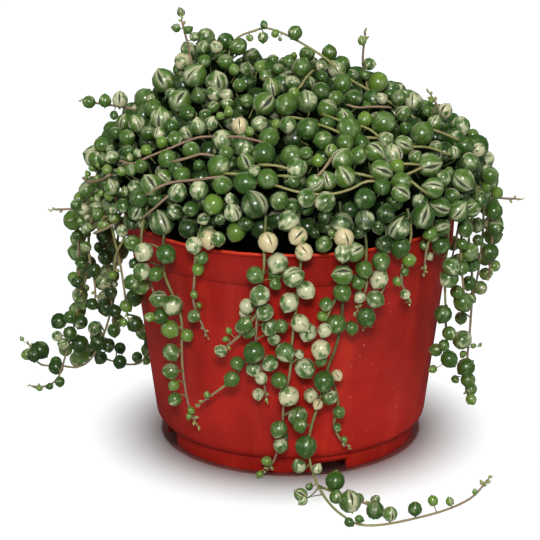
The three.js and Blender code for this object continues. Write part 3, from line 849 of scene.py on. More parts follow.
# The left cluster's pearls take looks a step darker than their own, DARK for green ones and SHADED for dark ones: a
# painted shade.
LEFT_SPOTS: SpotTable = {
    Look.PALE: [(117, 260, 5.5), (115, 284, 3)],
    Look.SPLIT: [(86, 247, 4.8, 150), (64, 344, 5.6, 180)],
    Look.MARBLED: [(82, 303, 5.9), (57, 336, 4.9), (95, 328, 6.7), (80, 295, 7.2), (103, 282, 8, 160)],
    Look.DARK: [
        (78, 235, 4.8), (87, 233, 3.7), (99, 247, 4.8), (116, 251, 5.5, 120), (82, 263, 5.5, 180), (70, 317, 5.9),
        (70, 333, 6.3), (135, 297, 7.4), (114, 330, 6.3), (56, 362, 5.6), (60, 387, 4.8, -90), (137, 357, 5.2),
        (50, 388, 3.3, 200),
    ],
    Look.SHADED: [
        (105, 235, 8), (106, 257, 7.4), (89, 263, 6.6), (94, 270, 6.2), (78, 282, 5.5, 200), (111, 292, 5.9),
        (92, 304, 5.2), (106, 307, 8.1), (115, 311, 5.9), (134, 263, 4.4), (59, 321, 7.4), (81, 322, 6.4),
        (80, 344, 8.2), (135, 324, 7), (98, 343, 7.4), (92, 350, 6.6), (108, 345, 6.6), (120, 348, 5.6),
        (101, 362, 6.3), (120, 364, 6.6), (40, 350, 8.8), (34, 355, 6.6), (56, 367, 7.2), (150, 343, 6),
    ],
    Look.BRIGHT: [
        (126, 306, 5.5), (86, 288, 3.3), (112, 275, 3.7, 0), (40, 393, 3, 180), (147, 361, 3.7), (22, 339, 2.2, 120),
        (124, 322, 3.4),
    ],
}
MOUND_SPOTS: SpotTable = {
    Look.SPLIT: [
        (164, 81, 9.8, 115), (180, 102, 9.2, 58), (161, 119, 8.8, 92), (195, 76, 9.6, 52), (272, 88, 7.6, 100),
        (264, 104, 9, 50), (137, 124, 7, 110), (186, 133, 5.8, -55), (246, 163, 7, 115), (151, 185, 8.2, 125),
        (164, 177, 6.4, -40), (112, 187, 6.4, 110), (162, 223, 9.8, 110), (206, 234, 7, 50), (213, 107, 4.6, 40),
        (337, 69.5, 7.6, 120), (345, 118, 6.6, 110), (434.5, 123, 6.4, 60), (403, 145, 7.8, -25), (375, 152, 8, -35),
        (428.5, 165, 9.4, 10), (381, 171, 8.8, -20), (345, 177, 8.4, 120), (328, 181, 7.2, 110), (315, 184, 7.2, 35),
        (400.5, 193, 7.2, -30), (97, 207, 5.6, 170), (125, 192, 3.8, 100), (137, 212, 7.2, 60), (462.5, 180, 9, -40),
        (433.5, 188, 8.2, 170), (440.5, 207, 7.8, 165), (458, 211, 8.4, 48), (471, 209, 7, 5), (423, 217, 9.2, 70),
        (398, 228, 9.2, 65), (441, 228, 6.8, 20),
    ],
    Look.CREAM: [(240, 126, 6.8, -85)],
    Look.PALE: [
        (183, 61, 7, -120), (216, 47, 5.4), (227, 95, 5), (151, 98, 3.4), (233, 213, 7), (230, 199, 4.2),
        (220, 220, 4.2), (204, 219, 4.8), (289, 221, 8.4), (393, 155, 7.8, 100), (382, 99, 4.6), (478, 150, 5.6),
        (83, 209, 4.6), (122, 231, 5), (98, 199, 3, 120), (87, 217, 2.6),
    ],
    Look.MARBLED: [
        (188.5, 50, 6.6, 120), (217, 83, 9.2, 95), (214.5, 94, 6.2), (246, 69, 5.2), (198.5, 127, 6.8, 100),
        (211, 124, 5.6), (222, 140, 8, -90), (259, 124, 6.4), (247, 150, 5.8), (254, 171, 4.6), (199, 190, 7.4),
        (177.5, 193, 7.4), (159.5, 134, 5.6), (138, 154, 3.8, 110), (112, 157, 5.4), (110, 150, 3.6), (135, 187, 5.8),
        (86, 229, 4.4), (132, 223, 5.4, 120), (175, 212, 6.4), (113, 209, 4.2, 150), (206, 37, 7.4), (203, 47.5, 5.4),
        (307, 102, 8.8, 100), (288, 125, 6.8), (460.5, 126, 8), (470, 162, 7.4), (413.5, 102.5, 7.8), (385, 140, 6.4),
        (292, 83, 6), (454, 153, 5.2, 100), (321, 66, 5.2), (297, 168, 7.8, -110), (306.5, 198, 7.2), (365, 220, 7.8),
        (342, 223, 8.2), (420, 202, 6.6), (443, 178, 6.2), (325, 202, 8),
    ],
    Look.GREEN: [
        (204.5, 61, 5.4), (226, 62, 6.2), (218.5, 54.5, 4.3), (238.5, 47, 6.8), (253, 54, 5), (272.5, 60, 4.6),
        (278, 69, 4.6), (239.5, 85.5, 5.6), (227, 104, 4.8), (247, 101, 5.4), (145, 99, 9), (153, 108, 7.4),
        (124, 122, 6.4), (127, 137, 6.4), (175.5, 139, 6.2, 110), (269, 138, 7.8), (191, 150, 6.8), (226, 153, 5.8),
        (219, 166, 8.8), (167, 159, 7), (267, 179, 8), (222, 185, 7.4), (182, 175, 6.6), (141, 166, 5.4),
        (102, 145, 6.6), (96, 159, 6.2), (139, 198, 7.8), (155, 199, 6), (86, 190, 6), (191, 209, 6), (246, 224, 5.6),
        (307, 54, 6.4), (329.5, 53, 6.4), (301, 68, 7.8), (342.5, 84, 7.6), (286, 105, 8.8), (336, 98, 6.2),
        (327, 109, 7.8), (367, 106.5, 3.6), (398.5, 98, 6.2), (403, 113.5, 6.4), (384, 123, 9.2), (422, 134, 9.4),
        (323.5, 140, 7.2), (345, 143, 6.8), (349, 130, 9.8), (342, 160, 8.8, 60), (358, 156, 7), (306, 153, 5),
        (308, 160, 4.6), (292, 156, 8.4), (415, 157, 5.2), (436, 147, 5.2), (401.5, 182, 7.6), (291.5, 206, 6.2),
        (452, 196, 6.2), (449, 171, 3.6), (465, 229, 5.8), (378, 227, 5.2), (358.5, 232, 5.4), (384, 244, 6.8),
        (490, 175, 6.6), (343, 63, 5.6), (279, 201, 7), (81, 221, 3.8), (98, 215, 4.8), (123, 206, 5.8, 70),
        (143, 224, 5), (131, 170, 4.8, 100), (141, 167, 5.2),
    ],
    Look.DARK: [
        (199, 96, 6.4), (171, 94, 4.8), (188, 113, 6), (205, 115, 4.8), (116, 133, 5), (148, 133, 5.8), (172, 126, 6),
        (264, 154, 8.9), (199, 165, 4.4), (176, 169, 5.8), (128, 151, 5), (103, 159, 4.6), (76, 205, 4.6),
        (105, 183, 4), (255, 205, 10.4), (188, 229, 7.4), (245, 183, 8.8), (322, 76.5, 4.6), (353, 75, 4.8),
        (311, 83, 4.6), (321, 91, 7.2), (354, 98, 6.8), (308, 129, 8.8), (327, 124, 6), (390, 94, 4), (405.5, 128, 5),
        (362, 143, 6), (464.5, 146, 7.8), (382, 187, 6.6), (294, 182, 5), (306, 208, 6), (365, 198.5, 8.2),
        (395, 202.5, 6.2), (385.5, 214, 7.2), (350, 210, 6.4), (325, 217, 5.4), (314, 233, 4),
    ],
    Look.BRIGHT: [
        (378, 82, 8.4), (213.5, 204, 7.8), (236, 232, 7.4), (229, 112, 4, 110), (234, 70, 4.6, 100), (260, 67, 5.2),
        (220, 116, 3.4), (162, 142, 4.6), (250, 132, 3.8), (276, 124, 4), (146, 150, 4.4), (130, 158, 3.2, 100),
        (92, 168, 3, 60), (98, 165, 2.4, 80), (88, 174, 2.6, 120), (86, 178, 2), (97, 178, 2.4, 60), (121, 171, 3.8),
        (107, 170, 4.2, 90), (109, 195, 4), (101, 193, 2.8), (92, 199, 2, 140), (104, 225, 3.6, 0), (127, 157, 3, 80),
        (90, 227, 2.4, 120), (133, 222, 4.8), (114, 218, 4.6), (102, 225, 4), (365, 119.5, 6), (331, 151, 5.2),
        (318, 161, 5, 90), (397, 166, 5.6), (294, 93, 4.8), (430, 233, 5.6), (332, 233, 3.4), (294, 55, 2.6),
    ],
}
SPRIG_SPOTS: SpotTable = {
    Look.PALE: [(120, 100, 6.8, 90), (445, 111, 6.4, 60)],
    Look.MARBLED: [(181, 12.5, 3.8, 110), (194, 37, 4.2, 40), (263, 37, 4.6, -90), (369, 64, 5.4, 0)],
    Look.GREEN: [
        (176.5, 28, 3.8, 170), (188, 30, 3.8, 30), (264, 25, 3.4, 100), (295, 33, 6.2, 60), (365, 75, 4.4, 180),
        (427, 111, 4.6, 90), (89, 102, 5.5, 170), (105, 101, 5.5, 90), (114, 115, 3.8, -90),
    ],
    Look.BRIGHT: [(250, 38, 3, 150), (275, 34, 3.4, 60), (280, 39, 1.8, -60), (362, 41, 4, 100), (431, 101, 2.6, 60)],
}


def read_spots(*tables: SpotTable, spread: float = 100.0) -> list[Spot]:
    """The pearls of tables: their tips point down, give or take half the spread, where no direction is given."""
    made = []
    for look, places in ((look, places) for table in tables for look, places in table.items()):
        for number, place in enumerate(places):
            hanging = -90 + spread * (float(draw(place[0], place[1], number)) - 0.5)
            made.append(Spot(*place[:3], look, place[3] if len(place) > 3 else hanging))
    return made


@dataclass
class Seating:
    """Puts pearls seen at a pixel on what carries them, clear of the pot and of the pearls before them."""

    form: PlantForm
    view: Viewpoint
    stalk: float = 0.6
    closeness: float = 0.86
    small_spot: float = 5.5
    hollows: tuple[Triple, ...] = (
        (254, 86, 3.6), (199, 107, 2.6), (139, 137, 2.6), (204, 144, 2.6), (233, 146, 3.0), (190, 160, 2.2),
        (167, 201, 2.6), (226, 225, 2.2), (258, 222, 3.0), (314, 216, 3.8), (386, 201, 2.6), (413, 178, 2.6),
        (369, 134, 2.2), (338, 208, 2.6), (303, 141, 2.2), (350, 113, 2.2),
        (84, 161, 4.6), (83, 152, 4.6), (76, 196, 2.4), (100, 217, 2.0), (72, 178, 4.0), (70, 210, 2.0))
    hollow_depth: float = 20.0
    far_away: float = 1e4

    def turned(self, spot: Spot, centre: Array, foot: Array, number: int) -> Pearls:
        """A pearl at a place, with its tip as the spot says and its window turned by a draw.

        Args:
            spot: The pearl.
            centre: Its middle.
            foot: Where its stalk starts.
            number: Its number for draws.

        Returns:
            The pearl.
        """
        right, rise, forward = self.view.axes
        angle = math.radians(spot.tip)
        lean = float(0.9 * draw(number, 78) - 0.35)
        tip = unit(swung(right, rise, angle) - forward * lean)
        facing = across(-forward, tip)
        turn = math.radians(75 + 210 * float(draw(number, 79)))
        if spot.look in (Look.CREAM, Look.SPLIT):
            turn = math.radians(50 * (float(draw(number, 79)) - 0.5))
        window = swung(facing, np.cross(tip, facing), turn)
        if spot.look not in (Look.CREAM, Look.SPLIT) and math.sin(angle) > -0.6:
            window = across(UP - forward * (float(draw(number, 82)) - 0.2), tip)
        cream, age = spot.look.value
        cream += 0.12 * (float(draw(number, 80)) - 0.5)
        stretch = 1.0 + 0.4 * max(0.0, 1 - spot.width / 5.5) + 0.05 * float(draw(number, 81))
        seed = 0.6 + 0.39 * float(draw(number, 77)) if spot.look is Look.SPLIT else float(draw(number, 77))
        return Pearls.one(centre, tip, window, foot, spot.width / 2, stretch, seed, cream, age)

    def nearest(self, spot: Spot, points: Array) -> int:
        """Which of some places is nearest to a spot in the picture."""
        return int(np.argmin(np.linalg.norm(self.view.project(points) - np.array(spot[:2]), axis=1)))

    def beside(self, spot: Spot, base: Array, number: int, others: Pearls) -> Pearls:
        """A pearl beside a place on a stem, in front of the stem where it covers it.

        Its middle lies on the pixel's ray. The first depth is taken that clears the pot and the other pearls, from
        the nearest to the stem's own depth outwards.

        Args:
            spot: The pearl.
            base: The place on the stem.
            number: Its number for draws.
            others: The pearls before it.

        Returns:
            The pearl.
        """
        radius, ray = spot.width / 2, self.view.ray((spot.across, spot.down))
        middle = float((base - self.view.place) @ ray)
        gap = float(np.linalg.norm(self.view.place + ray * middle - base))
        forward = math.sqrt(max(0.0, (radius + self.stalk) ** 2 - gap**2))
        shift = np.arange(0, 26, 0.5)
        shift = np.stack([-shift, shift + 0.25], 1).ravel()
        shift = np.concatenate([shift[shift < 9.0], np.arange(-26, -60, -1.0)])
        tries = self.view.place + ray * (middle - forward + shift)[:, None]
        tries[:, 2] = np.maximum(tries[:, 2], radius + 0.2)
        ground = self.form.skin_radius(self.form.azimuth_of(tries), np.minimum(tries[:, 2], self.form.dome[-2][1]))
        clear = np.hypot(tries[:, 0] + self.form.lean(tries[:, 2]), tries[:, 1]) >= ground + radius + 0.4
        clear &= np.all(apart(tries, others.centre) > (radius + others.radius[None]) * self.closeness, axis=1)
        return self.turned(spot, tries[int(np.argmax(clear))], base, number)

    def on_stems(self, spots: list[Spot], lines: list[StemLine], first: int) -> tuple[Pearls, Array]:
        """Puts spots on the stems that are nearest to them in the picture.

        Args:
            spots: The pearls.
            lines: The stems' lines.
            first: The first pearl's number for draws.

        Returns:
            The pearls, and which line carries each.
        """
        steps = [np.arange(0, line.length, 1.0) for line in lines]
        points = np.concatenate([line.along(step) for line, step in zip(lines, steps)])
        owners = np.concatenate([np.full(len(step), number) for number, step in enumerate(steps)])
        placed, rows = empty_pearls(), []
        for number, spot in enumerate(spots):
            row = self.nearest(spot, points)
            placed = Pearls.gather(placed, self.beside(spot, points[row], first + number, placed))
            rows.append(owners[row])
        return placed, np.array(rows)

    @cached_property
    def mound_grid(self) -> tuple[Array, Array]:
        """Places all over the inner mass and the mound's outward direction at each."""
        azimuth, share = np.meshgrid(np.arange(-180, 180, 2.0), np.linspace(0, 0.98, 60), indexing="ij")
        return (self.form.dome_point(azimuth.ravel(), share.ravel()),
                self.form.dome_normal(azimuth.ravel(), share.ravel()))

    def on_mound(self, spot: Spot, off: float, number: int, others: Pearls) -> Pearls:
        """A pearl on the mound where the pixel's ray passes it, standing off it.

        Where it would cut into another pearl it moves along the ray, a small one forward first, a large one back.

        Args:
            spot: The pearl.
            off: How far its middle stands off the inner mass.
            number: Its number for draws.
            others: The pearls before it.

        Returns:
            The pearl.
        """
        surface, normal = self.mound_grid
        points = surface + normal * off
        seen = np.sum(normal * (self.view.place - points), axis=1) > 0
        row = self.nearest(spot, np.where(seen[:, None], points, self.far_away))
        ray = self.view.ray((spot.across, spot.down))
        back, forward = np.arange(0, 7, 0.5), -np.arange(0, 4, 0.5)
        shift = np.concatenate([forward, back] if spot.width < self.small_spot else [back, forward])
        tries = self.view.place + ray * (float((points[row] - self.view.place) @ ray) + shift)[:, None]
        spare = apart(tries, others.centre) - (spot.width / 2 + others.radius[None]) * self.closeness
        spare = np.min(spare, axis=1, initial=0.0)
        centre = tries[int(np.argmax(spare))]
        return self.turned(spot, centre, centre - normal[row] * (off + 2), number)

    def in_hollow(self, pearls: Pearls) -> Array:
        """Which pearls on the near side stand in a dark hollow of the mound, or past its edge."""
        places = np.array([hollow[:2] for hollow in self.hollows])
        reach = np.array([hollow[2] for hollow in self.hollows]) * self.view.focal / self.view.distance
        near = pearls.centre @ self.view.axes[2] < self.hollow_depth
        return near & np.any(apart(self.view.project(pearls.centre), places) < reach[None], axis=1)

    def hides(self, fillers: Pearls, placed: Pearls) -> Array:
        """Which fillers touch a listed pearl, or stand before one in the picture.

        Args:
            fillers: The pearls that are tested.
            placed: The listed pearls.

        Returns:
            A mark for each filler.
        """
        near = apart(fillers.centre, placed.centre)
        near = near < (fillers.radius[:, None] + placed.radius[None]) * self.closeness
        flat = apart(self.view.project(fillers.centre), self.view.project(placed.centre))
        scale = self.view.focal / self.view.distance
        over = flat < (fillers.radius[:, None] * 0.6 + placed.radius[None] * 0.75) * scale
        forward = self.view.axes[2]
        before = (fillers.centre @ forward)[:, None] < (placed.centre @ forward)[None] + 1.0
        return np.any(near | (over & before), axis=1)


@dataclass
class Planting:
    """A part of the plant: the form that it lies on, what places its pearls, and the shapes that it is made of."""

    form: PlantForm
    rule: PearlRule
    seating: Seating
    shapes: PearlShapes
    stalks: StalkShape
    stems: StemShape

    def dressed(self, pearls: Pearls, *tips: Pearls) -> list[Surface]:
        """The surfaces of pearls and growing tips, and of the stalks that carry the pearls."""
        return [*self.shapes.surfaces(Pearls.gather(pearls, *tips)), self.stalks.surface(pearls)]


@dataclass
class TrailingStems(Planting):
    """The stems that hang over the pot's rim and lie on the floor, each a piece that stands for its node."""

    old_pearl: float = 4.9
    shoot_pearl: float = 3.6
    young_pearl: float = 2.3
    second_row: Pair = (0.86, 0.8)
    tip_places: tuple[float, ...] = (4.6, 3.1, 1.8, 0.8, 0.0)
    tip_spreads: tuple[float, ...] = (62, 55, 45, 32, 8)
    tip_radii: tuple[float, ...] = (0.75, 0.66, 0.56, 0.48, 0.44)
    tip_turn: float = 2.4
    tip_stretch: float = 1.7
    tip_stalk: float = 0.35
    pearls: dict[str, Pearls] = field(default_factory=dict)

    @cached_property
    def trails(self) -> dict[str, list[Array]]:
        """Every trail's routes, as in the frame's source, in its order."""
        over, ring, start = self.form.over, self.form.ring, self.form.from_mound
        routes = {
            "front_1": [[*start(-41, 121), over(-41.5, 97, 6.2), over(-42, 88, 6.2), over(-40, 76, 6),
                over(-38, 66, 6), over(-40, 45, 6), over(-39, 28, 5.6), over(-36, 20, 5.4)]],
            "front_2": [[*start(-29, 117), over(-29.5, 97, 6.2), over(-31, 86, 6.2), over(-32, 76, 6),
                over(-28, 63, 6)]],
            "front_3": [[*start(-8, 119), over(-8, 96, 6.2), over(-10, 78, 8), over(-11, 63, 8), over(-9, 50, 8),
                over(-8, 38, 7)],
                [over(-11, 62, 8), over(-18, 49, 9), over(-27, 38, 9), over(-33, 32, 9)],
                [over(-10.2, 77, 8), over(-14, 70, 10), over(-18, 64, 10.5), over(-22, 60, 10.5)]],
            "front_4": [[*start(3, 121), over(3, 97, 6.5), over(2, 86, 7), over(1, 70, 8), over(0, 55, 8),
                over(-2, 38, 7), over(-3, 24, 6.5), over(-6, 10, 6), over(-10, 3, 5.5)]],
            "front_5": [[*start(16, 121), over(16.5, 97, 7), over(15, 66, 8), over(12, 52, 8), over(9, 37, 9),
                over(6.5, 24, 10.5), over(6, 14, 13), (9.5, -76, 8), (14, -84, 3), (20, -98, 1.8),
                (29, -107, 1.8), (49, -101, 1.8), (70, -85, 2), (80, -74, 7)],
                [(11.3, -79, 5.6), (20, -84, 4.4), (27, -89, 4), (32.5, -94, 3.5)],
                [over(12, 52, 8), over(15, 41, 9), over(16, 34, 8), over(15.5, 26, 6.5), over(18, 19, 6),
                over(22, 14, 6)],
                [over(16.3, 91, 7.2), over(12.5, 80, 9), over(10, 70, 9.5), over(10, 60, 9.5)]],
            "front_6": [[*start(22.5, 116), over(22.5, 97, 6.5), over(23, 86, 8.5), over(20, 76, 9)]],
            "front_7": [[*start(29, 120), over(28.5, 97, 6.5), over(29, 88, 8), over(26, 78, 9), over(23, 69, 9)]],
            "front_8": [[*start(37, 116), over(36, 96, 6.5), over(35, 87, 8), over(39, 76, 9)]],
            "left_1": [[*start(-104, 119), ring(-104, 88, 92), (-89, 25, 62), (-92, 27, 50), (-98, 35, 28),
                (-104, 42, 9), (-107, 44, 2.6), (-112, 39, 1.8), (-118, 37, 3)]],
            "left_2": [[*start(-113, 117), ring(-112, 86, 96), ring(-112, 88, 80), ring(-112, 87, 60),
                ring(-113, 86, 40), ring(-114, 85, 30)]],
            "left_3": [[*start(-59, 116), over(-60, 97, 8), ring(-66, 78, 87), ring(-71, 77, 76)]],
            "left_4": [[*start(-69, 119), over(-69, 96, 8), over(-70, 82, 8), over(-70, 68, 8), over(-71, 58, 8)]],
            "left_5": [[*start(-50, 119), over(-51, 97, 7), over(-51, 86, 7), over(-48.5, 76, 7), over(-47, 66, 7)]],
            "left_6": [[*start(-136, 117), ring(-136, 80, 95), ring(-134, 80, 60), ring(-132, 82, 30),
                ring(-130, 87, 10), (-74, 66, 2.2), (-85, 73, 1.8), (-95, 82, 3)]],
            "left_7": [[*start(-123, 121), ring(-123, 88, 95), ring(-121, 91, 60), ring(-120, 94, 34),
                (-90, 54, 12), (-98, 61, 3), (-108, 66, 1.8), (-117, 67, 2.2), (-122, 70, 11)]],
            "left_8": [[*start(-94, 116), ring(-94, 89, 95), ring(-95, 91, 76), ring(-96, 91, 58)]],
            "left_9": [[*start(-81, 118), ring(-81, 84, 96), ring(-83, 85, 82), ring(-83, 83, 68), ring(-82, 83, 60)]],
            "right_1": [[*start(53, 121), over(54, 93, 8), over(57, 75, 9), over(60, 58, 10), over(63, 42, 12)]],
            "right_2": [[*start(71, 119), ring(72, 77, 92), ring(76, 78, 72), ring(80, 77, 50), ring(82, 76, 32),
                ring(81, 77, 15)]],
            "right_3": [[*start(45, 117), over(45, 95, 6.5), over(46, 86, 7)]],
            "right_4": [[*start(86, 117), ring(87, 84, 94), ring(88, 85, 80), ring(88, 84, 68)]],
            "right_5": [[*start(62, 116), ring(62, 78, 93), ring(64, 78, 80), ring(67, 78, 66)]],
            "right_6": [[*start(101, 119), ring(101, 84, 94), ring(102, 84, 70), ring(104, 82, 50)]],
            "back_1": [[*start(118, 117), ring(118, 85, 94), ring(119, 84, 72), ring(121, 83, 58)]],
            "back_2": [[*start(136, 121), ring(136, 84, 94), ring(137, 83, 60), ring(135, 81, 34), ring(134, 80, 24)]],
            "back_3": [[*start(153, 117), ring(153, 84, 94), ring(154, 82, 70), ring(156, 80, 48)]],
            "back_4": [[*start(170, 121), ring(170, 84, 94), ring(169, 82, 62), ring(171, 80, 36), ring(172, 78, 18)]],
            "back_5": [[*start(187, 117), ring(187, 84, 94), ring(188, 82, 74), ring(187, 81, 60)]],
            "back_6": [[*start(205, 119), ring(205, 84, 94), ring(206, 82, 66), ring(204, 80, 44)]],
        }
        return {name: [np.array(route) for route in made] for name, made in routes.items()}

    def place_pearls(self, sprigs: list[Array]) -> None:
        """Places the frame's pearls on every trail, with the same draws in the same order.

        Args:
            sprigs: Routes of the mound's sprigs, which they keep clear of.
        """
        sprig_stems = self.rule.close_points(sprigs)
        everyone = empty_pearls()
        for index, (name, routes) in enumerate(self.trails.items()):
            other_routes = [r for other, rest in self.trails.items() if other != name for r in rest]
            others = np.concatenate([self.rule.close_points(other_routes), sprig_stems])
            own = empty_pearls()
            for order, route in enumerate(routes):
                siblings = self.rule.close_points([r for r in routes if r is not route])
                sizes = (self.shoot_pearl if order else self.old_pearl, self.young_pearl)
                stems = np.concatenate([others, siblings])
                before = Pearls.gather(everyone, own)
                own = Pearls.gather(own, self.rule.stem_pearls(route, sizes, 10 * index + order, before, stems))
            self.pearls[name] = own
            everyone = Pearls.gather(everyone, own)

    @property
    def all_pearls(self) -> Pearls:
        """The pearls of every trail."""
        return Pearls.gather(*self.pearls.values())

    @property
    def all_stems(self) -> Array:
        """Places on every trail's stems."""
        return self.rule.close_points([route for routes in self.trails.values() for route in routes])

    def place_by_eye(self, spots: list[Spot], names: list[str], first: int) -> dict[str, Pearls]:
        """Puts spots on some trails.

        Args:
            spots: The pearls.
            names: The trails that may carry them.
            first: The first pearl's number for draws.

        Returns:
            The pearls of each trail.
        """
        lines = [(name, StemLine(route)) for name in names for route in self.trails[name]]
        placed, rows = self.seating.on_stems(spots, [line for _, line in lines], first)
        owners = np.array([name for name, _ in lines])[rows]
        return {name: placed.keep(owners == name) for name in names}

    def dress_pearls(self, mound_eyed: Pearls) -> None:
        """Puts listed pearls on the trails in view, and a second row of smaller pearls on the others.

        Args:
            mound_eyed: The mound's listed pearls, which no pearl by rule may hide.
        """
        strands = [f"front_{k}" for k in range(3, 9)] + ["right_3"]
        made = self.place_by_eye(read_spots(FRONT_SPOTS, FLOOR_SPOTS), strands, 4000)
        made |= self.place_by_eye(read_spots(LEFT_FRONT_SPOTS), ["front_1", "front_2"], 4300)
        right = self.place_by_eye(read_spots(RIGHT_SPOTS), [f"right_{k}" for k in (1, 2, 4, 5, 6)], 4400)
        left = self.place_by_eye(read_spots(LEFT_SPOTS), [f"left_{k}" for k in range(1, 10)], 4500)
        made |= {name: right.pop(name) for name in ("right_1", "right_2")}
        sides = left | right
        eyed = Pearls.gather(*sides.values(), *made.values(), mound_eyed)
        for index, (name, routes) in enumerate(self.trails.items()):
            if name in made:
                self.pearls[name] = made[name]
                continue
            for order, route in enumerate(routes):
                sizes = (self.old_pearl * self.second_row[0], self.young_pearl * self.second_row[1])
                more = self.rule.stem_pearls(
                    route, sizes, 10 * index + order, self.all_pearls, np.zeros((0, 3)), 0.0, 400, 0.8)
                self.pearls[name] = Pearls.gather(self.pearls[name], more)
            own = self.pearls[name]
            own.age = 0.55 + 0.37 * own.age
            free = own.keep(~self.seating.hides(own, eyed) & ~self.seating.in_hollow(own))
            self.pearls[name] = Pearls.gather(free, sides.get(name, empty_pearls()))

    def growing_tip(self, line: StemLine, seed: int) -> Pearls:
        """The tip of a stem: small pointed leaves in a loose tuft, smaller to its end.

        Args:
            line: The stem's line.
            seed: Its number for draws.

        Returns:
            The small leaves.
        """
        count = len(self.tip_places)
        number = np.arange(count)
        foot = line.along(line.length - np.array(self.tip_places))
        heading = unit(line.along(np.full(count, line.length)) - line.along(np.full(count, line.length - 3.0)))
        first = across(self.form.outward_at(foot) + 0.01, heading)
        second = np.cross(heading, first)
        turn = self.tip_turn * number + 6 * draw(seed, 61)
        tip = unit(swung(heading, swung(first, second, turn), np.radians(self.tip_spreads)))
        radius = np.array(self.tip_radii) * (0.8 + 0.4 * draw(seed, 62))
        centre = foot + tip * (radius + self.tip_stalk)[:, None]
        centre[:, 2] = np.maximum(centre[:, 2], radius + 0.1)
        window = across(np.broadcast_to(UP + 0.1, tip.shape), tip)
        return Pearls(centre, tip, window, radius, np.full(count, self.tip_stretch), draw(seed, number, 63),
                      0.15 + 0.3 * draw(seed, number, 64), 0.08 * draw(seed, number, 65), foot)

    def build(self, finishes: list[Finish]) -> None:
        """Makes each trail's piece: pearls, stalks, stems and growing tips."""
        for index, (name, routes) in enumerate(self.trails.items()):
            lines = [StemLine(route) for route in routes]
            tips = [self.growing_tip(line, 10 * index + k) for k, line in enumerate(lines)]
            # Trails start at age 1, whose near-black bark is painted shade where they leave the mound.
            surfaces = [self.stems.surface(line, 10 * index + k, (1.0, 0.2)) for k, line in enumerate(lines)]
            surfaces += self.dressed(self.pearls[name], *tips)
            piece = make_piece(f"pearls_{name}", surfaces, finishes)
            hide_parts(f"trail_{name}")


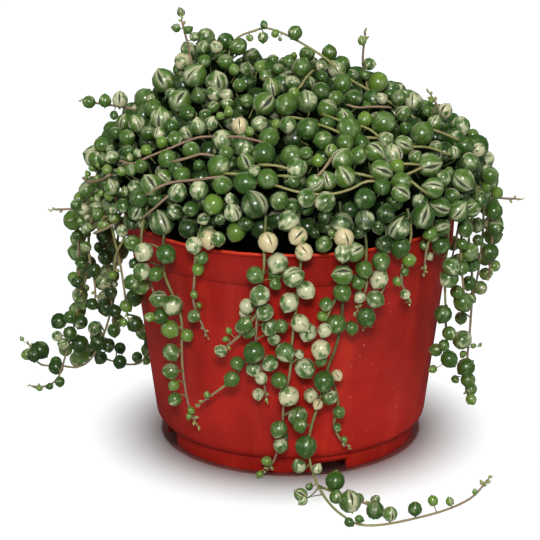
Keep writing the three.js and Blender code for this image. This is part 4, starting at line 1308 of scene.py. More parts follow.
@dataclass
class Mound(Planting):
    """The heap of pearls on the pot: dark inner mass, pearls in two layers, stems across it and young sprigs."""

    tries: int = 9000
    outer_from: float = 0.12
    small_from: float = 0.75
    inner_sizes: Pair = (3.3, 1.5)
    outer_sizes: Pair = (3.0, 1.7)
    small_sizes: Pair = (2.3, 1.3)
    inner_off: Pair = (-1.2, 2.0)
    outer_off: Pair = (2.4, 2.8)
    closeness: float = 0.88
    shade_inset: float = 4.0
    shade_foot: Pair = (55.0, 97.0)
    crossing: float = 8.0
    crossing_radius: float = 0.5
    dip: float = 8.0
    young_crossings: int = 8
    eyed_off: float = 6.0
    swell: float = 1.05
    # The next three set where low pearls near the middle are made darker and less creamy, a painted shade under the
    # mound's overhang.
    shade_below: float = 126.0
    shade_fade: float = 16.0
    shade_half: float = 76.0
    shown_from: float = 0.12
    shown_share: float = 0.02
    sprig_sizes: Pair = (3.2, 1.8)
    eyed_sprigs: int = 5
    arch: int = 1

    @cached_property
    def sprigs(self) -> list[Array]:
        """Routes of the young stems that stand out of the mound, as in the frame's source."""
        routes = [
            [(-38, 4, 146), (-41, 8, 160), (-45, 9, 177)],
            [(-27, 8, 156), (-23, 7, 168), (-14, 5.5, 172.5), (-9.5, 5, 173.5), (0, 4, 170), (14, 1, 162),
             (22.5, 0, 154.6), (35, -1, 147.2), (49, -4, 139.5), (58, -6, 132)],
            [(33, 8, 144), (30, 9, 158), (31, 10, 171)],
            [(60, -4, 128), (62, -2, 139), (57, 0, 148)],
            [(-52, 0, 136), (-67, 0, 141), (-86, 0, 144)],
            [(-72, -3, 108), (-88, -5, 100), (-100, -6, 99)],
            [(70, 3, 108), (86, 3, 102), (97, 3, 101)],
        ]
        return [np.array(route, float) for route in routes]

    @cached_property
    def crossings(self) -> list[Array]:
        """Stems that lie over the mound, by pixels of the picture."""
        seen = [
            [(121, 161), (133, 164), (150, 156), (170, 148), (185, 142), (200, 137.5), (220, 136.5), (240, 137),
             (262, 142)],
            [(175, 161), (190, 157), (200, 154), (214, 156)],
            [(147, 194), (160, 187), (175, 182), (195, 179.5), (218, 177)],
            [(143, 218), (155, 207), (169, 195)],
            [(83, 178), (90, 182), (101, 180), (109, 175)],
            [(95, 232), (105, 229), (114, 224)],
            [(331, 159), (325, 167), (317, 176)],
            [(349, 105), (357, 107.5), (372, 107), (389, 107.5)],
            [(290, 117), (304, 119), (320, 125), (338, 132)],
            [(325, 115), (345, 122), (366, 128), (378, 136)],
            [(360, 137), (376, 138)],
            [(414, 147), (430, 148), (448, 154)],
            [(433, 130), (445, 134), (457, 139)],
            [(354, 173), (371, 177)],
            [(277, 186), (295, 191), (315, 194), (335, 194), (352, 189), (364, 182), (373, 181)],
            [(225, 174), (241, 174.5)],
            [(260, 165), (275, 166), (290, 169)],
            [(279, 176), (293, 177)],
            [(404, 176), (414, 172), (422, 168)],
            [(403, 164), (419, 165)],
            [(409, 180), (418, 187), (427, 193)],
            [(299, 88), (306, 79), (313, 71)],
        ]
        return [self.dipped(np.array([self.on_surface(pixel) for pixel in line])) for line in seen]

    def dipped(self, line: Array) -> Array:
        """A line with both ends led on a little and back between the pearls, as seen from the camera."""
        ends = line[[0, -1]] + unit(line[[0, -1]] - line[[1, -2]]) + self.dip * self.seating.view.axes[2]
        return np.vstack([ends[:1], line, ends[1:]])

    @cached_property
    def eyed(self) -> Pearls:
        """The mound's listed pearls, larger ones first."""
        placed = empty_pearls()
        for number, spot in enumerate(sorted(read_spots(MOUND_SPOTS, spread=360.0), key=lambda spot: -spot.width)):
            spot = spot._replace(width=spot.width * self.swell)
            placed = Pearls.gather(placed, self.seating.on_mound(spot, self.eyed_off, 3000 + number, placed))
        # Painted shade under the mound's overhang: low pearls near the middle are made darker green and less creamy.
        low = np.clip((self.shade_below - placed.centre[:, 2]) / self.shade_fade, 0, 1)
        low = low * np.clip((self.shade_half - np.abs(placed.centre[:, 0])) / self.shade_fade, 0, 1)
        placed.age, placed.cream = np.clip(placed.age + 0.2 * low, 0, 1), placed.cream * (1 - 0.4 * low)
        return placed

    def on_surface(self, pixel: Pair) -> Array:
        """The place above the mound where a pixel's ray passes, as high as the stems that cross the pearls."""
        spot = Spot(pixel[0], pixel[1], 1, Look.GREEN, 0)
        return self.seating.on_mound(spot, self.crossing, 0, empty_pearls()).centre[0]

    def layers(self, placed: Pearls, eyed: Pearls) -> Pearls:
        """Fills the mound with pearls by darts: each is kept where it stands far enough from the ones before it.

        Args:
            placed: Pearls that are there already.
            eyed: Those of them that are listed, which no other stands before in the picture.

        Returns:
            The new pearls.
        """
        form, trial = self.form, np.arange(self.tries)
        azimuth, share = 360 * draw(trial, 51), draw(trial, 52)
        surface, normal = form.dome_point(azimuth, share), form.dome_normal(azimuth, share)
        fair = draw(trial, 53) * form.dome[0][0] < np.hypot(surface[:, 0], surface[:, 1]) + 6
        outer = trial > self.tries * self.outer_from
        shown = np.sum(normal * unit(self.seating.view.place - surface), axis=1) > self.shown_from
        fair &= ~(outer & shown & (draw(trial, 60) > self.shown_share))
        inner, large, small = (least + more * draw(trial, 54)
                               for least, more in (self.inner_sizes, self.outer_sizes, self.small_sizes))
        radius = np.where(trial > self.tries * self.small_from, small, np.where(outer, large, inner))
        inner, off = (least + more * draw(trial, 55) for least, more in (self.inner_off, self.outer_off))
        off = np.where(outer, off, inner)
        centre = surface + normal * off[:, None]
        darts = self.laid(trial, centre, normal, radius, surface)
        # Painted shade: the inner layer's pearls get the darkest green and a third of their cream.
        darts.cream, darts.age = np.where(outer, darts.cream, 0.3 * darts.cream), np.where(outer, darts.age, 1.0)
        centres, radii, kept = placed.centre, placed.radius, []
        for i in np.flatnonzero(fair & ~self.seating.hides(darts, eyed) & ~self.seating.in_hollow(darts)):
            near = np.linalg.norm(centres - centre[i], axis=1)
            if np.any(near < (radii + radius[i]) * self.closeness):
                continue
            centres, radii = np.vstack([centres, centre[i]]), np.append(radii, radius[i])
            kept.append(i)
        return darts.keep(np.array(kept))

    def laid(self, rows: Array, centre: Array, normal: Array, radius: Array, surface: Array) -> Pearls:
        """Turns pearls of the mound: tips along its surface, mostly upward or aside, windows mostly outward.

        Args:
            rows: Their numbers for draws.
            centre: Their middles.
            normal: The mound's outward direction at each.
            radius: Their radii.
            surface: The places that carry them.

        Returns:
            The pearls.
        """
        upward = across(np.broadcast_to(UP + 1e-3, normal.shape), normal)
        side = np.cross(normal, upward)
        tip = swung(upward, side, 2 * math.pi * draw(rows, 56))
        tip = unit(tip + normal * (0.75 * draw(rows, 57) - 0.1)[:, None])
        facing = across(normal + 0.4 * UP, tip)
        window = swung(facing, np.cross(tip, facing), np.radians(360 * draw(rows, 58)))
        cream = 0.05 + 0.4 * draw(rows, 59) ** 1.5
        stretch = 1 + 0.06 * draw(rows, 61) + 0.4 * np.clip(1 - radius / 3.0, 0, 1)
        age = np.clip(0.25 + radius / 5.2 + 0.35 * (draw(rows, 62) - 0.5), 0, 0.92)
        foot = surface - normal * 1.5
        return Pearls(centre, tip, window, radius, stretch, draw(rows, 63), cream, age, foot)

    def shade_surface(self) -> Surface:
        """The inner mass: the mound's own surface, a little further in, closed at its top and under its edge."""
        share = np.concatenate([[0.0], np.linspace(0, 0.985, 22)])
        azimuth = np.arange(0, 360, 5.0)
        turn, level = np.meshgrid(azimuth, share, indexing="xy")
        points = self.form.dome_point(turn, level) - self.form.dome_normal(turn, level) * self.shade_inset
        points[0] = self.form.ring(azimuth, *self.shade_foot)
        flat = np.vstack([points.reshape(-1, 3), points[-1].mean(0) + UP * 0.5, UP * self.shade_foot[1]])
        count = len(azimuth)
        caps = np.vstack([fan(len(flat) - 2, (len(share) - 1) * count, count),
                          fan(len(flat) - 1, 0, count, flipped=True)])
        return Surface(flat, grid_quads(len(share), count, True), caps, Slot.PEARL, flat / 10, np.zeros_like(flat))

    def build(self, trails: TrailingStems, finishes: list[Finish], shade: Finish) -> None:
        """Makes the mound's pieces, which together stand for the frame's crown.

        Args:
            trails: The trailing stems, whose pearls the mound's keep clear of.
            finishes: The plant's finishes.
            shade: The finish of the inner mass.
        """
        trail_pearls, trail_stems = trails.all_pearls, trails.all_stems
        lines = [StemLine(route[::-1] if i == self.arch else route) for i, route in enumerate(self.sprigs)]
        young, _ = self.seating.on_stems(read_spots(SPRIG_SPOTS), lines[:self.eyed_sprigs], 4700)
        low = [self.rule.stem_pearls(route, self.sprig_sizes, 1000 + self.eyed_sprigs + i, trail_pearls, trail_stems)
               for i, route in enumerate(self.sprigs[self.eyed_sprigs:])]
        eyed = self.eyed
        before = Pearls.gather(eyed, young)
        young = Pearls.gather(young, *low)
        ruled = self.rule.dome_pearls(trail_pearls, trail_stems)
        ruled = ruled.keep(~self.seating.hides(ruled, before) & ~self.seating.in_hollow(ruled))
        surface = ruled.centre - ruled.tip * (ruled.radius * self.rule.sunk)[:, None]
        ruled = self.laid(np.arange(len(ruled)) + 20000, ruled.centre, ruled.tip, ruled.radius, surface)
        near_trails = trail_pearls.keep(trail_pearls.centre[:, 2] > 90)
        heap = Pearls.gather(eyed, ruled)
        filled = self.layers(Pearls.gather(heap, near_trails, young), before)
        heap = Pearls.gather(heap, filled)
        LOG.info("the mound holds %d pearls", len(heap))
        azimuth = self.form.azimuth_of(heap.centre)
        quarters = {"front": np.abs(azimuth) <= 45, "back": np.abs(azimuth) > 135}
        quarters["right"] = (azimuth > 45) & (azimuth <= 135)
        quarters["left"] = (azimuth < -45) & (azimuth >= -135)
        for name, rows in quarters.items():
            part = heap.keep(rows)
            self.finish(f"mound_{name}", self.dressed(part), finishes)
        tips = [trails.growing_tip(line, 1000 + i) for i, line in enumerate(lines)]
        surfaces = [self.stems.surface(line, 1000 + i, (0.68, 0.4) if i == self.arch else (0.6, 0.0))
                    for i, line in enumerate(lines)]
        self.finish("mound_sprigs", surfaces + self.dressed(young, *tips), finishes)
        thin = replace(self.stems, old_radius=self.crossing_radius, young_radius=self.crossing_radius)
        ages = [(0.4, 0.1) if i < self.young_crossings else (0.7, 0.6) for i in range(len(self.crossings))]
        crossing = [thin.surface(StemLine(r), 1100 + i, ages[i]) for i, r in enumerate(self.crossings)]
        self.finish("mound_stems", crossing, finishes)
        self.finish("mound_shade", [self.shade_surface()], [shade])

    def finish(self, name: str, surfaces: list[Surface], finishes: list[Finish]) -> None:
        """Makes one piece of the mound."""
        piece = make_piece(name, surfaces, finishes)
        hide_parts("crown")


class Level:
    """A node's output, as a number or a vector: sums of it add the nodes that work them out."""

    def __init__(self, desk: "NodeDesk", socket: Any) -> None:
        """Keeps the output and the desk that its sums are put on."""
        self.desk, self.socket = desk, socket

    def sum(self, operation: str, *others: Any) -> "Level":
        """One sum of it and of other numbers or outputs, as vectors where it is one."""
        kind = "ShaderNodeVectorMath" if self.socket.type == "VECTOR" else "ShaderNodeMath"
        return self.desk.put(kind, self, *others, operation=operation)

    def __add__(self, other: Any) -> "Level":
        """It and another."""
        return self.sum("ADD", other)

    def __sub__(self, other: Any) -> "Level":
        """It less another."""
        return self.sum("SUBTRACT", other)

    def __rsub__(self, other: float) -> "Level":
        """A number less it."""
        return self.desk.put("ShaderNodeMath", other, self, operation="SUBTRACT")

    def __mul__(self, other: Any) -> "Level":
        """It times another: a vector is scaled by a number, or multiplied part by part by three."""
        if self.socket.type == "VECTOR" and isinstance(other, float):
            return self.sum("SCALE", None, None, other)
        return self.sum("MULTIPLY", other)

    def __truediv__(self, other: Any) -> "Level":
        """It divided by another."""
        return self.sum("DIVIDE", other)

    def step(self, low: Any, high: Any) -> "Level":
        """0 below low, 1 above high, an S curve between."""
        return self.desk.put("ShaderNodeMapRange", self, low, high, 0.0, 1.0, interpolation_type="SMOOTHSTEP")


class NodeDesk:
    """Adds shader nodes to a material or to the world and joins them."""

    def __init__(self, owner: Any) -> None:
        """Starts on the owner's nodes."""
        owner.use_nodes = True
        self.owner, self.tree = owner, owner.node_tree

    def put(self, kind: str, *values: Any, output: int | str = 0, **settings: Any) -> Level:
        """Adds a node.

        Args:
            kind: Its type.
            values: Its inputs in order: numbers, colours, other nodes' outputs, or None to leave one alone.
            output: Which output is returned.
            settings: Its own settings.

        Returns:
            The output.
        """
        node = self.tree.nodes.new(kind)
        for name, value in settings.items():
            setattr(node, name, value)
        for index, value in enumerate(values):
            self.feed(node.inputs[index], value)
        return Level(self, node.outputs[output])

    def feed(self, socket: Any, value: Any) -> None:
        """Gives an input a number, a colour or another node's output."""
        if isinstance(value, Level):
            self.tree.links.new(value.socket, socket)
        elif value is not None:
            socket.default_value = (*value, 1.0) if socket.type == "RGBA" else value

    def place(self) -> Level:
        """The place on the object."""
        return self.put("ShaderNodeTexCoord", output="Object")

    def mark(self, name: str) -> Level:
        """A mark of the mesh."""
        return self.put("ShaderNodeAttribute", output="Vector", attribute_name=name)

    def split(self, vector: Level) -> list[Level]:
        """A vector's three parts."""
        return [self.put("ShaderNodeSeparateXYZ", vector, output=part) for part in range(3)]

    def noise(self, place: Level, scale: float, detail: float = 3.0, roughness: float = 0.6) -> Level:
        """Soft noise between 0 and 1."""
        return self.put("ShaderNodeTexNoise", place, None, scale, detail, roughness)

    def mix(self, factor: Level, first: Any, second: Any) -> Level:
        """A colour between two."""
        return self.put("ShaderNodeMix", factor, *[None] * 5, first, second, output=2, data_type="RGBA")

    def ramp(self, value: Level, stops: Scale) -> Level:
        """A colour read off a scale."""
        read = self.put("ShaderNodeValToRGB", value)
        elements = read.socket.node.color_ramp.elements
        for _ in stops[2:]:
            elements.new(0.5)
        for element, (place, colour) in zip(elements, stops):
            element.position, element.color = place, (*colour, 1.0)
        return read

    def wear(self, height: Level | None = None, strength: float = 0.0, depth: float = 0.0,
             **sockets: Any) -> Finish:
        """Sets the material's one shader.

        Args:
            height: The surface's fine relief.
            strength: How much of the relief shows.
            depth: Its depth in metres.
            sockets: The shader's inputs by name, with _ for a space.

        Returns:
            The material.
        """
        shader = self.tree.nodes["Principled BSDF"]
        for name, value in sockets.items():
            self.feed(shader.inputs[name.replace("_", " ")], value)
        if height is not None:
            bump = self.tree.nodes.new("ShaderNodeBump")
            for name, value in (("Strength", strength), ("Distance", depth), ("Height", height)):
                self.feed(bump.inputs[name], value)
            self.tree.links.new(bump.outputs[0], shader.inputs["Normal"])
        return self.owner


def new_finish(name: str) -> NodeDesk:
    """A desk on a new material."""
    return NodeDesk(bpy.data.materials.new(name))


@dataclass(frozen=True)
class PearlSkin:
    """Glossy pearl skin: green by age, soft cream patches and thin pale streaks from tip to foot, a dark slit."""

    patch_scale: float = 1.15
    streak_scale: float = 2.6
    line_scale: float = 5.5
    cloud_scale: float = 1.9
    slit_half: float = 0.1
    flank_half: float = 0.55
    roughness: float = 0.22
    cream: Colour = (0.50, 0.42, 0.24)
    tan: Colour = (0.42, 0.33, 0.17)
    pale: Colour = (0.41, 0.41, 0.25)
    misty: Colour = (0.14, 0.21, 0.085)
    slit: Colour = (0.008, 0.016, 0.004)
    tip: Colour = (0.24, 0.15, 0.09)
    greens: Scale = (
        (0.0, (0.22, 0.16, 0.06)), (0.1, (0.25, 0.31, 0.035)), (0.38, (0.095, 0.175, 0.017)),
        (0.72, (0.058, 0.122, 0.013)), (0.92, (0.020, 0.060, 0.006)), (1.0, (0.009, 0.030, 0.003)))

    def build(self) -> Finish:
        """Makes the material, all of it from the pearl's own direction and draws."""
        desk = new_finish("pearl_skin")
        direction = desk.mark("pearl_dir")
        x, y, z = desk.split(direction)
        seed, cream, age = desk.split(desk.mark("pearl_kind"))
        flat = (1.0 - z * z).sum("SQRT") + 0.05
        spread = desk.put("ShaderNodeCombineXYZ", x / flat, y / flat, z * 0.35)
        shift = desk.put("ShaderNodeCombineXYZ", seed, seed * 2.7, 0.4) * 41.0
        streak = desk.noise(spread + shift, self.streak_scale)
        patch = desk.noise(direction + shift * 1.7, self.patch_scale, 1.8, 0.45)
        cloud = desk.noise(direction + shift, self.cloud_scale)
        pattern = (streak * 0.35 + patch * 0.65) * 2.6 - 0.8
        level = 0.93 - cream * 0.72
        whitish = pattern.step(level - 0.04, level + 0.16)
        fringe = pattern.step(level - 0.3, level + 0.04)
        marked = (cream + seed).step(0.45, 0.95)
        turn = y.sum("ARCTAN2", x).sum("ABSOLUTE")
        start = (seed * 5.1).sum("FRACT") * 0.4 - 0.97
        belly = z.step(start, start + 0.9) * (1.0 - z.step(0.1, 1.0))
        width = ((seed * 7.3).sum("FRACT") * 0.9 + 0.4) * (belly * self.slit_half + 0.035)
        slit = (1.0 - turn.step(width * 0.5, width * 1.7)) * marked
        slit = slit * z.step(start, start + 0.25) * (1.0 - z.step(0.8, 0.99))
        flank = 1.0 - (turn + (streak * 0.3 - 0.15)).step(0.16, self.flank_half)
        flank = flank * z.step(-0.9, -0.5) * marked
        lines = desk.noise(spread * (1.0, 1.0, 0.5) + shift * 0.6, self.line_scale, 2.0)
        lines = lines.step(0.55, 0.72) * (cream + patch).step(0.45, 0.85)
        body = desk.mix(cloud.step(0.45, 0.75) * 0.2, desk.ramp(age, self.greens), self.misty)
        body = desk.mix(fringe * 0.75, body, self.misty)
        body = desk.mix(lines * 0.45, body, self.pale)
        creamy = desk.mix(streak.step(0.38, 0.7) * 0.6, self.cream, self.tan)
        light = desk.mix(cream.step(0.7, 1.0) + (cloud * 0.6 - 0.3), self.pale, creamy)
        body = desk.mix(whitish * 0.92, body, light)
        body = desk.mix(flank * 0.62, body, light)
        body = desk.mix(slit * 0.95, body, self.slit)
        return desk.wear(
            whitish * 0.2 - slit, 0.3, 0.0003, Base_Color=desk.mix(z.step(0.99, 0.9995), body, self.tip),
            Roughness=slit * 0.65 + (cloud * 0.14 + self.roughness), Specular_IOR_Level=0.6, Sheen_Weight=0.05,
            Sheen_Roughness=0.4, Sheen_Tint=(0.75, 0.9, 0.6), Subsurface_Weight=0.04,
            Subsurface_Radius=(0.5, 1.0, 0.25), Subsurface_Scale=0.0016)


@dataclass(frozen=True)
class StemBark:
    """Thin succulent bark: mauve and pink where young, yellow-green where old, with fine lengthwise streaks, and near
    black at the top of its age scale, a painted shade where stems leave the mound and on stalks of the darkest pearls.
    """

    # The two last stops are painted shade: near black, for the starts of trailing stems and the stalks of the darkest
    # pearls.
    age_and_shade: Scale = (
        (0.0, (0.18, 0.105, 0.075)), (0.35, (0.21, 0.15, 0.09)), (0.5, (0.22, 0.19, 0.08)),
        (0.75, (0.17, 0.18, 0.052)), (0.93, (0.05, 0.07, 0.02)), (1.0, (0.03, 0.045, 0.012)))
    fleck: Colour = (0.16, 0.09, 0.06)

    def build(self) -> Finish:
        """Makes the material from the stem's age and place."""
        desk = new_finish("stem_bark")
        seed, _, age = desk.split(desk.mark("pearl_kind"))
        mottle = desk.noise(desk.place(), 260.0)
        colour = desk.ramp(age + (seed * 0.24 - 0.12) + (mottle * 0.3 - 0.15), self.age_and_shade)
        colour = desk.mix(desk.noise(desk.place(), 900.0, 2.0, 0.55).step(0.56, 0.7) * 0.3, colour, self.fleck)
        return desk.wear(mottle, 0.4, 0.0002, Base_Color=colour, Roughness=0.5, Specular_IOR_Level=0.4)


@dataclass(frozen=True)
class LeafShade:
    """The dark inside of the mound: a near-black sheet whose colour is painted shade for shadowed leaves and old stems.
    """

    # Both colours are painted shade, near black.
    deep: Colour = (0.0012, 0.0025, 0.001)
    leaf: Colour = (0.006, 0.012, 0.004)

    def build(self) -> Finish:
        """Makes the material from one noise of place."""
        desk = new_finish("leaf_shade")
        lumps = desk.noise(desk.place(), 110.0, 4.0)
        colour = desk.mix(lumps.step(0.35, 0.7), self.deep, self.leaf)
        return desk.wear(lumps, 0.9, 0.003, Base_Color=colour, Roughness=0.9, Specular_IOR_Level=0.0)


@dataclass(frozen=True)
class PotPlastic:
    """Satin red nursery plastic: slightly uneven in colour and gloss, with dust specks and scuffs, a painted highlight
    along the lip and painted shade on the collar under it.
    """

    red: Colour = (0.36, 0.011, 0.005)
    # Deeper red for the plastic's uneven tone, and also the painted shade on the collar under the lip.
    deep: Colour = (0.22, 0.006, 0.003)
    # Light red for the drawn streaks, and also the painted highlight along the top of the lip.
    lip: Colour = (0.6, 0.045, 0.016)
    dust: Colour = (0.62, 0.28, 0.18)

    def build(self) -> Finish:
        """Makes the material from place alone: a light red band along the lip is a painted highlight, and the collar
        under it is darkened as painted shade.
        """
        desk = new_finish("pot_plastic")
        place = desk.place()
        height = desk.split(place)[2]
        drawn = desk.noise(place * (1.0, 1.0, 0.12), 90.0)
        colour = desk.mix(desk.noise(place, 26.0).step(0.3, 0.72), self.deep, self.red)
        colour = desk.mix(drawn.step(0.45, 0.8) * 0.25, colour, self.lip)
        # Painted highlight: a thin band of light red along the top of the rolled lip.
        colour = desk.mix(height.step(0.0991, 0.0998) * 0.95, colour, self.lip)
        # Painted shade: the collar under the lip is darkened towards the deeper red.
        collar = height.step(0.085, 0.0875) * (1.0 - height.step(0.0984, 0.0992))
        colour = desk.mix(collar * 0.6, colour, self.deep)
        colour = desk.mix(desk.noise(place, 560.0, 1.0, 0.55).step(0.74, 0.8) * 0.3, colour, self.dust)
        rough = desk.noise(place, 140.0, 3.0, 0.55) * 0.14 + 0.42
        relief = desk.noise(place, 620.0, 2.0) * 0.5 + drawn * 0.5
        return desk.wear(relief, 0.16, 0.0004, Base_Color=colour, Roughness=rough, Specular_IOR_Level=0.14)


@dataclass(frozen=True)
class PottingSoil:
    """Dark peat with coarse crumbs and a few pale grains."""

    peat: Scale = ((0.3, (0.008, 0.005, 0.003)), (0.6, (0.028, 0.018, 0.011)), (0.8, (0.07, 0.05, 0.03)))
    grain: Colour = (0.30, 0.27, 0.22)

    def build(self) -> Finish:
        """Makes the material from cells and noise of place."""
        desk = new_finish("potting_soil")
        place = desk.place()
        clods = desk.noise(place, 120.0, 4.0, 0.65)
        grain = desk.noise(place, 480.0, 1.0, 0.55).step(0.68, 0.72)
        colour = desk.mix(grain * 0.6, desk.ramp(clods, self.peat), self.grain)
        relief = clods + desk.put("ShaderNodeTexVoronoi", place, None, 300.0) * 0.6
        return desk.wear(relief, 1.0, 0.002, Base_Color=colour, Roughness=0.9, Specular_IOR_Level=0.25)


@dataclass(frozen=True)
class NurseryPot:
    """The pot: one profile of radius and height turned about the axis, with four notches in its foot ring."""

    roll_centre: Pair = (69.1, 99.1)
    roll_radius: float = 0.9
    corner_centre: Pair = (52.6, 12.0)
    corner_radii: Pair = (5.45, 5.3)
    wall_ends: tuple[Pair, Pair] = ((58.05, 12.0), (67.15, 85.2))
    pad_height: float = 3.5
    ring_faces: Triple = (51.9, 52.2, 55.0)
    notch_width: float = 14.5
    notch_height: float = 5.0
    notch_margin: float = 0.8
    first_notch: float = 18.0
    foot_radius: float = 53.5
    drain_radius: float = 2.5
    drain_ring: float = 37.0
    drain_count: int = 8
    drain_sides: int = 16
    drain_heights: Pair = (1.0, 8.0)
    sharp_angle: float = 38.0
    every: float = 3.0

    @cached_property
    def profile(self) -> Array:
        """Radius and height of the profile, from the middle of the pad out, up the wall, over the lip and down."""
        lip, corner = np.radians(np.linspace(-60, 200, 11)), np.radians(np.linspace(-62, 0, 7))
        rolled = np.array(self.roll_centre) + self.roll_radius * np.stack([np.cos(lip), np.sin(lip)], 1)
        rounded = np.array(self.corner_centre) + self.corner_radii * np.stack([np.cos(corner), np.sin(corner)], 1)
        wall = np.linspace(*self.wall_ends, 9)[1:]
        points = [
            [[0, 0], [17.6, 0], [18, 0.4], [18, self.pad_height], [51.6, self.pad_height], [52, 3.1], [52, 0.3],
             [52.3, 0]],
            [[53.2, 0], [53.5, 0.3], [53.62, 2.0], [53.76, 4.0], [53.86, 5.1], [53.95, 6.2], [54.3, 6.35],
             [54.32, 6.7]],
            rounded, wall,
            [[67.2, 85.7], [67.35, 86.05], [68.15, 86.2], [68.4, 86.5], [68.55, 88.5], [68.8, 93.5], [68.9, 97.3],
             [69.0, 98.0]],
            rolled,
            [[68.1, 97.6], [67.3, 90.0], [66.9, 86.4], [65.8, 85.0], [61.2, 48.0], [56.6, 12.6], [55.4, 8.4],
             [52.4, 5.3], [50.5, 5.0], [0, 5.0]],
        ]
        return np.concatenate([np.array(part, float) for part in points])

    def columns(self) -> tuple[Array, Array]:
        """Azimuths of the columns, doubled at each notch's edges, and whether each lies in a notch."""
        half = math.degrees(math.asin(self.notch_width / 2 / self.foot_radius))
        middles = self.first_notch + 90.0 * np.arange(4)
        plain = np.arange(0, 360, self.every)
        away = np.abs(np.mod(plain[:, None] - middles[None] + 180, 360) - 180)
        plain = plain[np.all(np.abs(away - half) > self.notch_margin, axis=1)]
        inside = np.any(np.abs(np.mod(plain[:, None] - middles[None] + 180, 360) - 180) < half, axis=1)
        edges = np.concatenate([middles - half, middles - half, middles + half, middles + half])
        notched = np.concatenate([np.zeros(4), np.ones(4), np.ones(4), np.zeros(4)])
        order = np.concatenate([np.zeros(4), np.ones(4), np.zeros(4), np.ones(4)])
        azimuth = np.concatenate([plain, np.mod(edges, 360)])
        marks = np.concatenate([inside, notched.astype(bool)])
        sort = np.lexsort((np.concatenate([np.zeros(len(plain)), order]), azimuth))
        return azimuth[sort], marks[sort]

    def body(self) -> tuple[Array, Array]:
        """Turns the profile into places and triangles: in a notch the foot ring's low points rise to its top.

        Returns:
            Places and triangles, with doubled places joined and empty triangles left out.
        """
        azimuth, notched = self.columns()
        radius, height = self.profile.T
        turn = np.radians(azimuth)[None]
        start, inner, end = self.ring_faces
        rises = notched[None] & ((radius > start) & (radius < end))[:, None]
        z = np.where(rises, np.maximum(height[:, None], self.notch_height), height[:, None])
        under_pad = (height < self.pad_height + 0.1) & (radius < inner)
        z = np.where(rises & under_pad[:, None], self.pad_height, z)
        points = np.stack([radius[:, None] * np.sin(turn), -radius[:, None] * np.cos(turn), z], -1).reshape(-1, 3)
        quads = grid_quads(len(radius), len(azimuth), True)
        triangles = np.vstack([quads[:, [0, 1, 2]], quads[:, [0, 2, 3]]])
        places, inverse = np.unique(np.round(points, 4), axis=0, return_inverse=True)
        triangles = inverse.reshape(-1)[triangles]
        doubled = (triangles[:, 0] == triangles[:, 1]) | (triangles[:, 1] == triangles[:, 2])
        doubled |= triangles[:, 0] == triangles[:, 2]
        return places, triangles[~doubled]

    def drains(self) -> Thing:
        """Short rods where the floor has its drain holes, from below the floor to above it."""
        sides = self.drain_sides
        turn = np.arange(sides) * 2 * math.pi / sides
        ring = np.stack([self.drain_radius * np.cos(turn), self.drain_radius * np.sin(turn)], 1)
        spots = np.radians(np.arange(self.drain_count) * 360 / self.drain_count)
        middle = np.stack([self.drain_ring * np.sin(spots), -self.drain_ring * np.cos(spots)], 1)
        flat = (middle[:, None] + ring[None])[:, None].repeat(2, axis=1)
        height = np.broadcast_to(np.array(self.drain_heights)[None, :, None, None], (*flat.shape[:3], 1))
        points = np.concatenate([flat, height], -1).reshape(-1, 3) / 1000
        near = np.arange(sides)
        side = np.stack([near, (near + 1) % sides, (near + 1) % sides + sides, near + sides], 1)
        faces: list[Any] = []
        for k in range(self.drain_count):
            start = 2 * sides * k
            faces += (side + start).tolist() + [(near[::-1] + start).tolist(), (near + sides + start).tolist()]
        mesh = bpy.data.meshes.new("drain_rods")
        mesh.from_pydata(points.tolist(), [], faces)
        return stand("drain_rods", mesh)

    def build(self, finish: Finish) -> Thing:
        """Makes the pot's piece, with its drain holes cut and its edges kept crisp.

        Args:
            finish: Its plastic.

        Returns:
            The pot, riding on the part's body.
        """
        places, triangles = self.body()
        mesh = bpy.data.meshes.new("nursery_pot")
        mesh.from_pydata((places / 1000).tolist(), [], triangles.tolist())
        piece = stand("nursery_pot", mesh)
        rods = self.drains()
        cut = piece.modifiers.new("drain_holes", "BOOLEAN")
        cut.operation, cut.object, cut.solver = "DIFFERENCE", rods, "EXACT"
        bpy.context.view_layer.update()
        whole = bpy.data.meshes.new_from_object(piece.evaluated_get(bpy.context.evaluated_depsgraph_get()))
        piece.modifiers.clear()
        piece.data = whole
        whole.name = "nursery_pot"
        bpy.data.objects.remove(rods)
        whole.polygons.foreach_set("use_smooth", np.ones(len(whole.polygons), bool))
        whole.set_sharp_from_angle(angle=math.radians(self.sharp_angle))
        whole.materials.clear()
        whole.materials.append(finish)
        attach(piece, "root")
        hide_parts("pot")
        LOG.info("nursery_pot: %d faces", len(whole.polygons))
        return piece


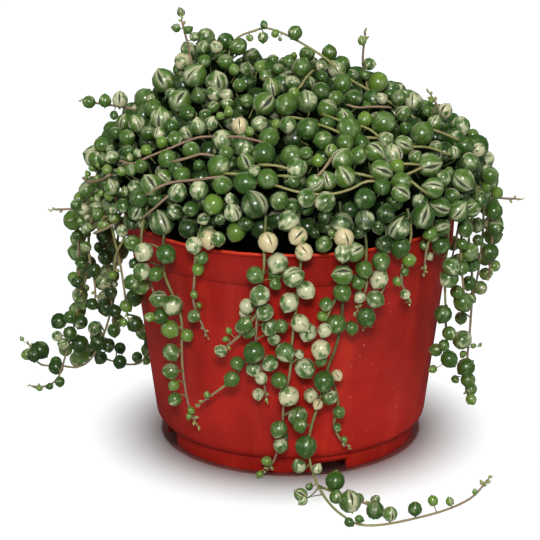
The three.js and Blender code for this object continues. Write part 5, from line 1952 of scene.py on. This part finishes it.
@dataclass(frozen=True)
class Studio:
    """The camera, a pale floor and backdrop, and the lamps.

    Two small soft lamps side by side, over the camera, light the plant, with a wide box at each side and a wide soft
    light from above. A lamp at the back lights the floor far behind it, and the floor has a light of its own.
    """

    view: Viewpoint
    floor_half: float = 3.0
    lamp_place: Triple = (0.06, -1.15, 0.74)
    lamp_size: float = 0.15
    lamp_power: float = 7.8
    box_place: Triple = (1.35, -0.75, 0.55)
    box_size: float = 1.1
    box_power: float = 3.0
    back_place: Triple = (0.0, 1.35, 1.1)
    back_aim: Triple = (0.0, 1.05, 0.0)
    back_size: float = 1.3
    back_power: float = 3.0
    plant: Triple = (0.0, 0.0, 0.1)
    top_strength: float = 2.6
    top_angle: float = 70.0
    floor_strength: float = 3.4
    floor_angle: float = 24.0
    sky: float = 0.03
    glossy_sky: float = 0.08
    white: float = 1.3
    sensor: float = 36.0

    def lamp(self, name: str, place: Triple, aim: Triple, size: float, power: float) -> Thing:
        """Adds a square soft lamp that faces a point, in metres."""
        light = bpy.data.lights.new(name, "AREA")
        light.shape, light.size, light.energy = "SQUARE", size, power
        lamp = stand(name, light)
        lamp.location = place
        lamp.rotation_euler = (Vector(aim) - Vector(place)).to_track_quat("-Z", "Y").to_euler()
        return lamp

    def overhead(self, name: str, strength: float, angle: float) -> Thing:
        """Adds a wide soft light straight above, the same all over the floor, which gives no highlight."""
        light = bpy.data.lights.new(name, "SUN")
        light.energy, light.angle = strength, math.radians(angle)
        lamp = stand(name, light)
        lamp.location = (0.0, 0.0, 1.0)
        lamp.visible_glossy = False
        return lamp

    def floor(self) -> Thing:
        """Adds the pale floor."""
        half = self.floor_half
        mesh = bpy.data.meshes.new("floor")
        mesh.from_pydata([(-half, -half, 0), (half, -half, 0), (half, half, 0), (-half, half, 0)], [], [(0, 1, 2, 3)])
        floor = stand("floor", mesh)
        mesh.materials.append(new_finish("pale_floor").wear(
            Base_Color=(0.89, 0.93, 0.935), Roughness=0.9, Specular_IOR_Level=0.1))
        floor.visible_glossy = False
        return floor

    def backdrop(self) -> None:
        """Sets the pale surroundings: white behind the plant, dimmer in its gloss, dimmer still as a light."""
        bpy.context.scene.world = bpy.data.worlds.new("studio")
        desk = NodeDesk(bpy.context.scene.world)
        strength: Any = self.sky
        for ray, level in (("Is Glossy Ray", self.glossy_sky), ("Is Camera Ray", self.white)):
            strength = desk.put("ShaderNodeMix", desk.put("ShaderNodeLightPath", output=ray), None, strength, level)
        shader = desk.tree.nodes["Background"]
        desk.feed(shader.inputs["Color"], (1.0, 1.0, 1.0))
        desk.feed(shader.inputs["Strength"], strength)

    def camera(self) -> None:
        """Sets the camera at the picture's angle."""
        data = bpy.data.cameras.new("camera")
        camera = stand("camera", data)
        camera.location = (self.view.place / 1000).tolist()
        camera.rotation_euler = (math.pi / 2 - self.view.rise, 0.0, 0.0)
        data.sensor_width = self.sensor
        data.lens = self.sensor * self.view.focal / self.view.side
        data.shift_x = (self.view.side / 2 - self.view.centre[0]) / self.view.side
        data.shift_y = (self.view.centre[1] - self.view.side / 2) / self.view.side
        bpy.context.scene.camera = camera

    def light_floor(self, floor: Thing, pot: Thing, lamps: list[Thing]) -> None:
        """Keeps the plant's lamps off the floor and gives it a light of its own, which only the pot shades.

        Args:
            floor: The floor.
            pot: The pot.
            lamps: The plant's lamps.
        """
        lit, shading, unlit = (bpy.data.collections.new(name) for name in ("lit_floor", "floor_shading", "unlit_floor"))
        lit.objects.link(floor)
        shading.objects.link(pot)
        light = self.overhead("floor_light", self.floor_strength, self.floor_angle)
        light.light_linking.receiver_collection = lit
        light.light_linking.blocker_collection = shading
        unlit.objects.link(floor)
        unlit.collection_objects[0].light_linking.link_state = "EXCLUDE"
        for lamp in lamps:
            lamp.light_linking.receiver_collection = unlit

    def build(self, pot: Thing) -> None:
        """Sets up camera, floor, backdrop and lamps, and plain colours for the picture.

        Args:
            pot: The pot, whose shade falls on the floor.
        """
        self.camera()
        floor = self.floor()
        self.backdrop()
        lamps = []
        for name, (x, y, z), size, power in (("lamp", self.lamp_place, self.lamp_size, self.lamp_power),
                                             ("box", self.box_place, self.box_size, self.box_power)):
            lamps += [self.lamp(f"{name}_left", (-x, y, z), self.plant, size, power),
                      self.lamp(f"{name}_right", (x, y, z), self.plant, size, power)]
        back = self.lamp("back_light", self.back_place, self.back_aim, self.back_size, self.back_power)
        back.visible_glossy = False
        lamps.append(self.overhead("top_light", self.top_strength, self.top_angle))
        self.light_floor(floor, pot, lamps)
        bpy.context.scene.view_settings.view_transform = "Standard"
        bpy.context.scene.view_settings.look = "None"


def main() -> None:
    """Builds the studio, the pot, the trailing stems and the mound, in that order."""
    logging.basicConfig(level=logging.INFO, format="%(message)s")
    view, form = Viewpoint(), PlantForm()
    finishes = [PearlSkin().build(), StemBark().build()]
    Studio(view).build(NurseryPot().build(PotPlastic().build()))
    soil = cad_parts["soil"]
    soil.data.materials.clear()
    soil.data.materials.append(PottingSoil().build())
    rule, seating = PearlRule(form), Seating(form, view)
    shapes = (PearlShapes(), StalkShape(), StemShape(form))
    mound = Mound(form, rule, seating, *shapes)
    trails = TrailingStems(form, rule, seating, *shapes)
    trails.place_pearls(mound.sprigs)
    LOG.info("the frame's trails hold %d pearls", len(trails.all_pearls))
    trails.dress_pearls(mound.eyed)
    LOG.info("dressed trails hold %d pearls", len(trails.all_pearls))
    trails.build(finishes)
    mound.build(trails, finishes, LeafShade().build())


if __name__ == "__main__":
    main()
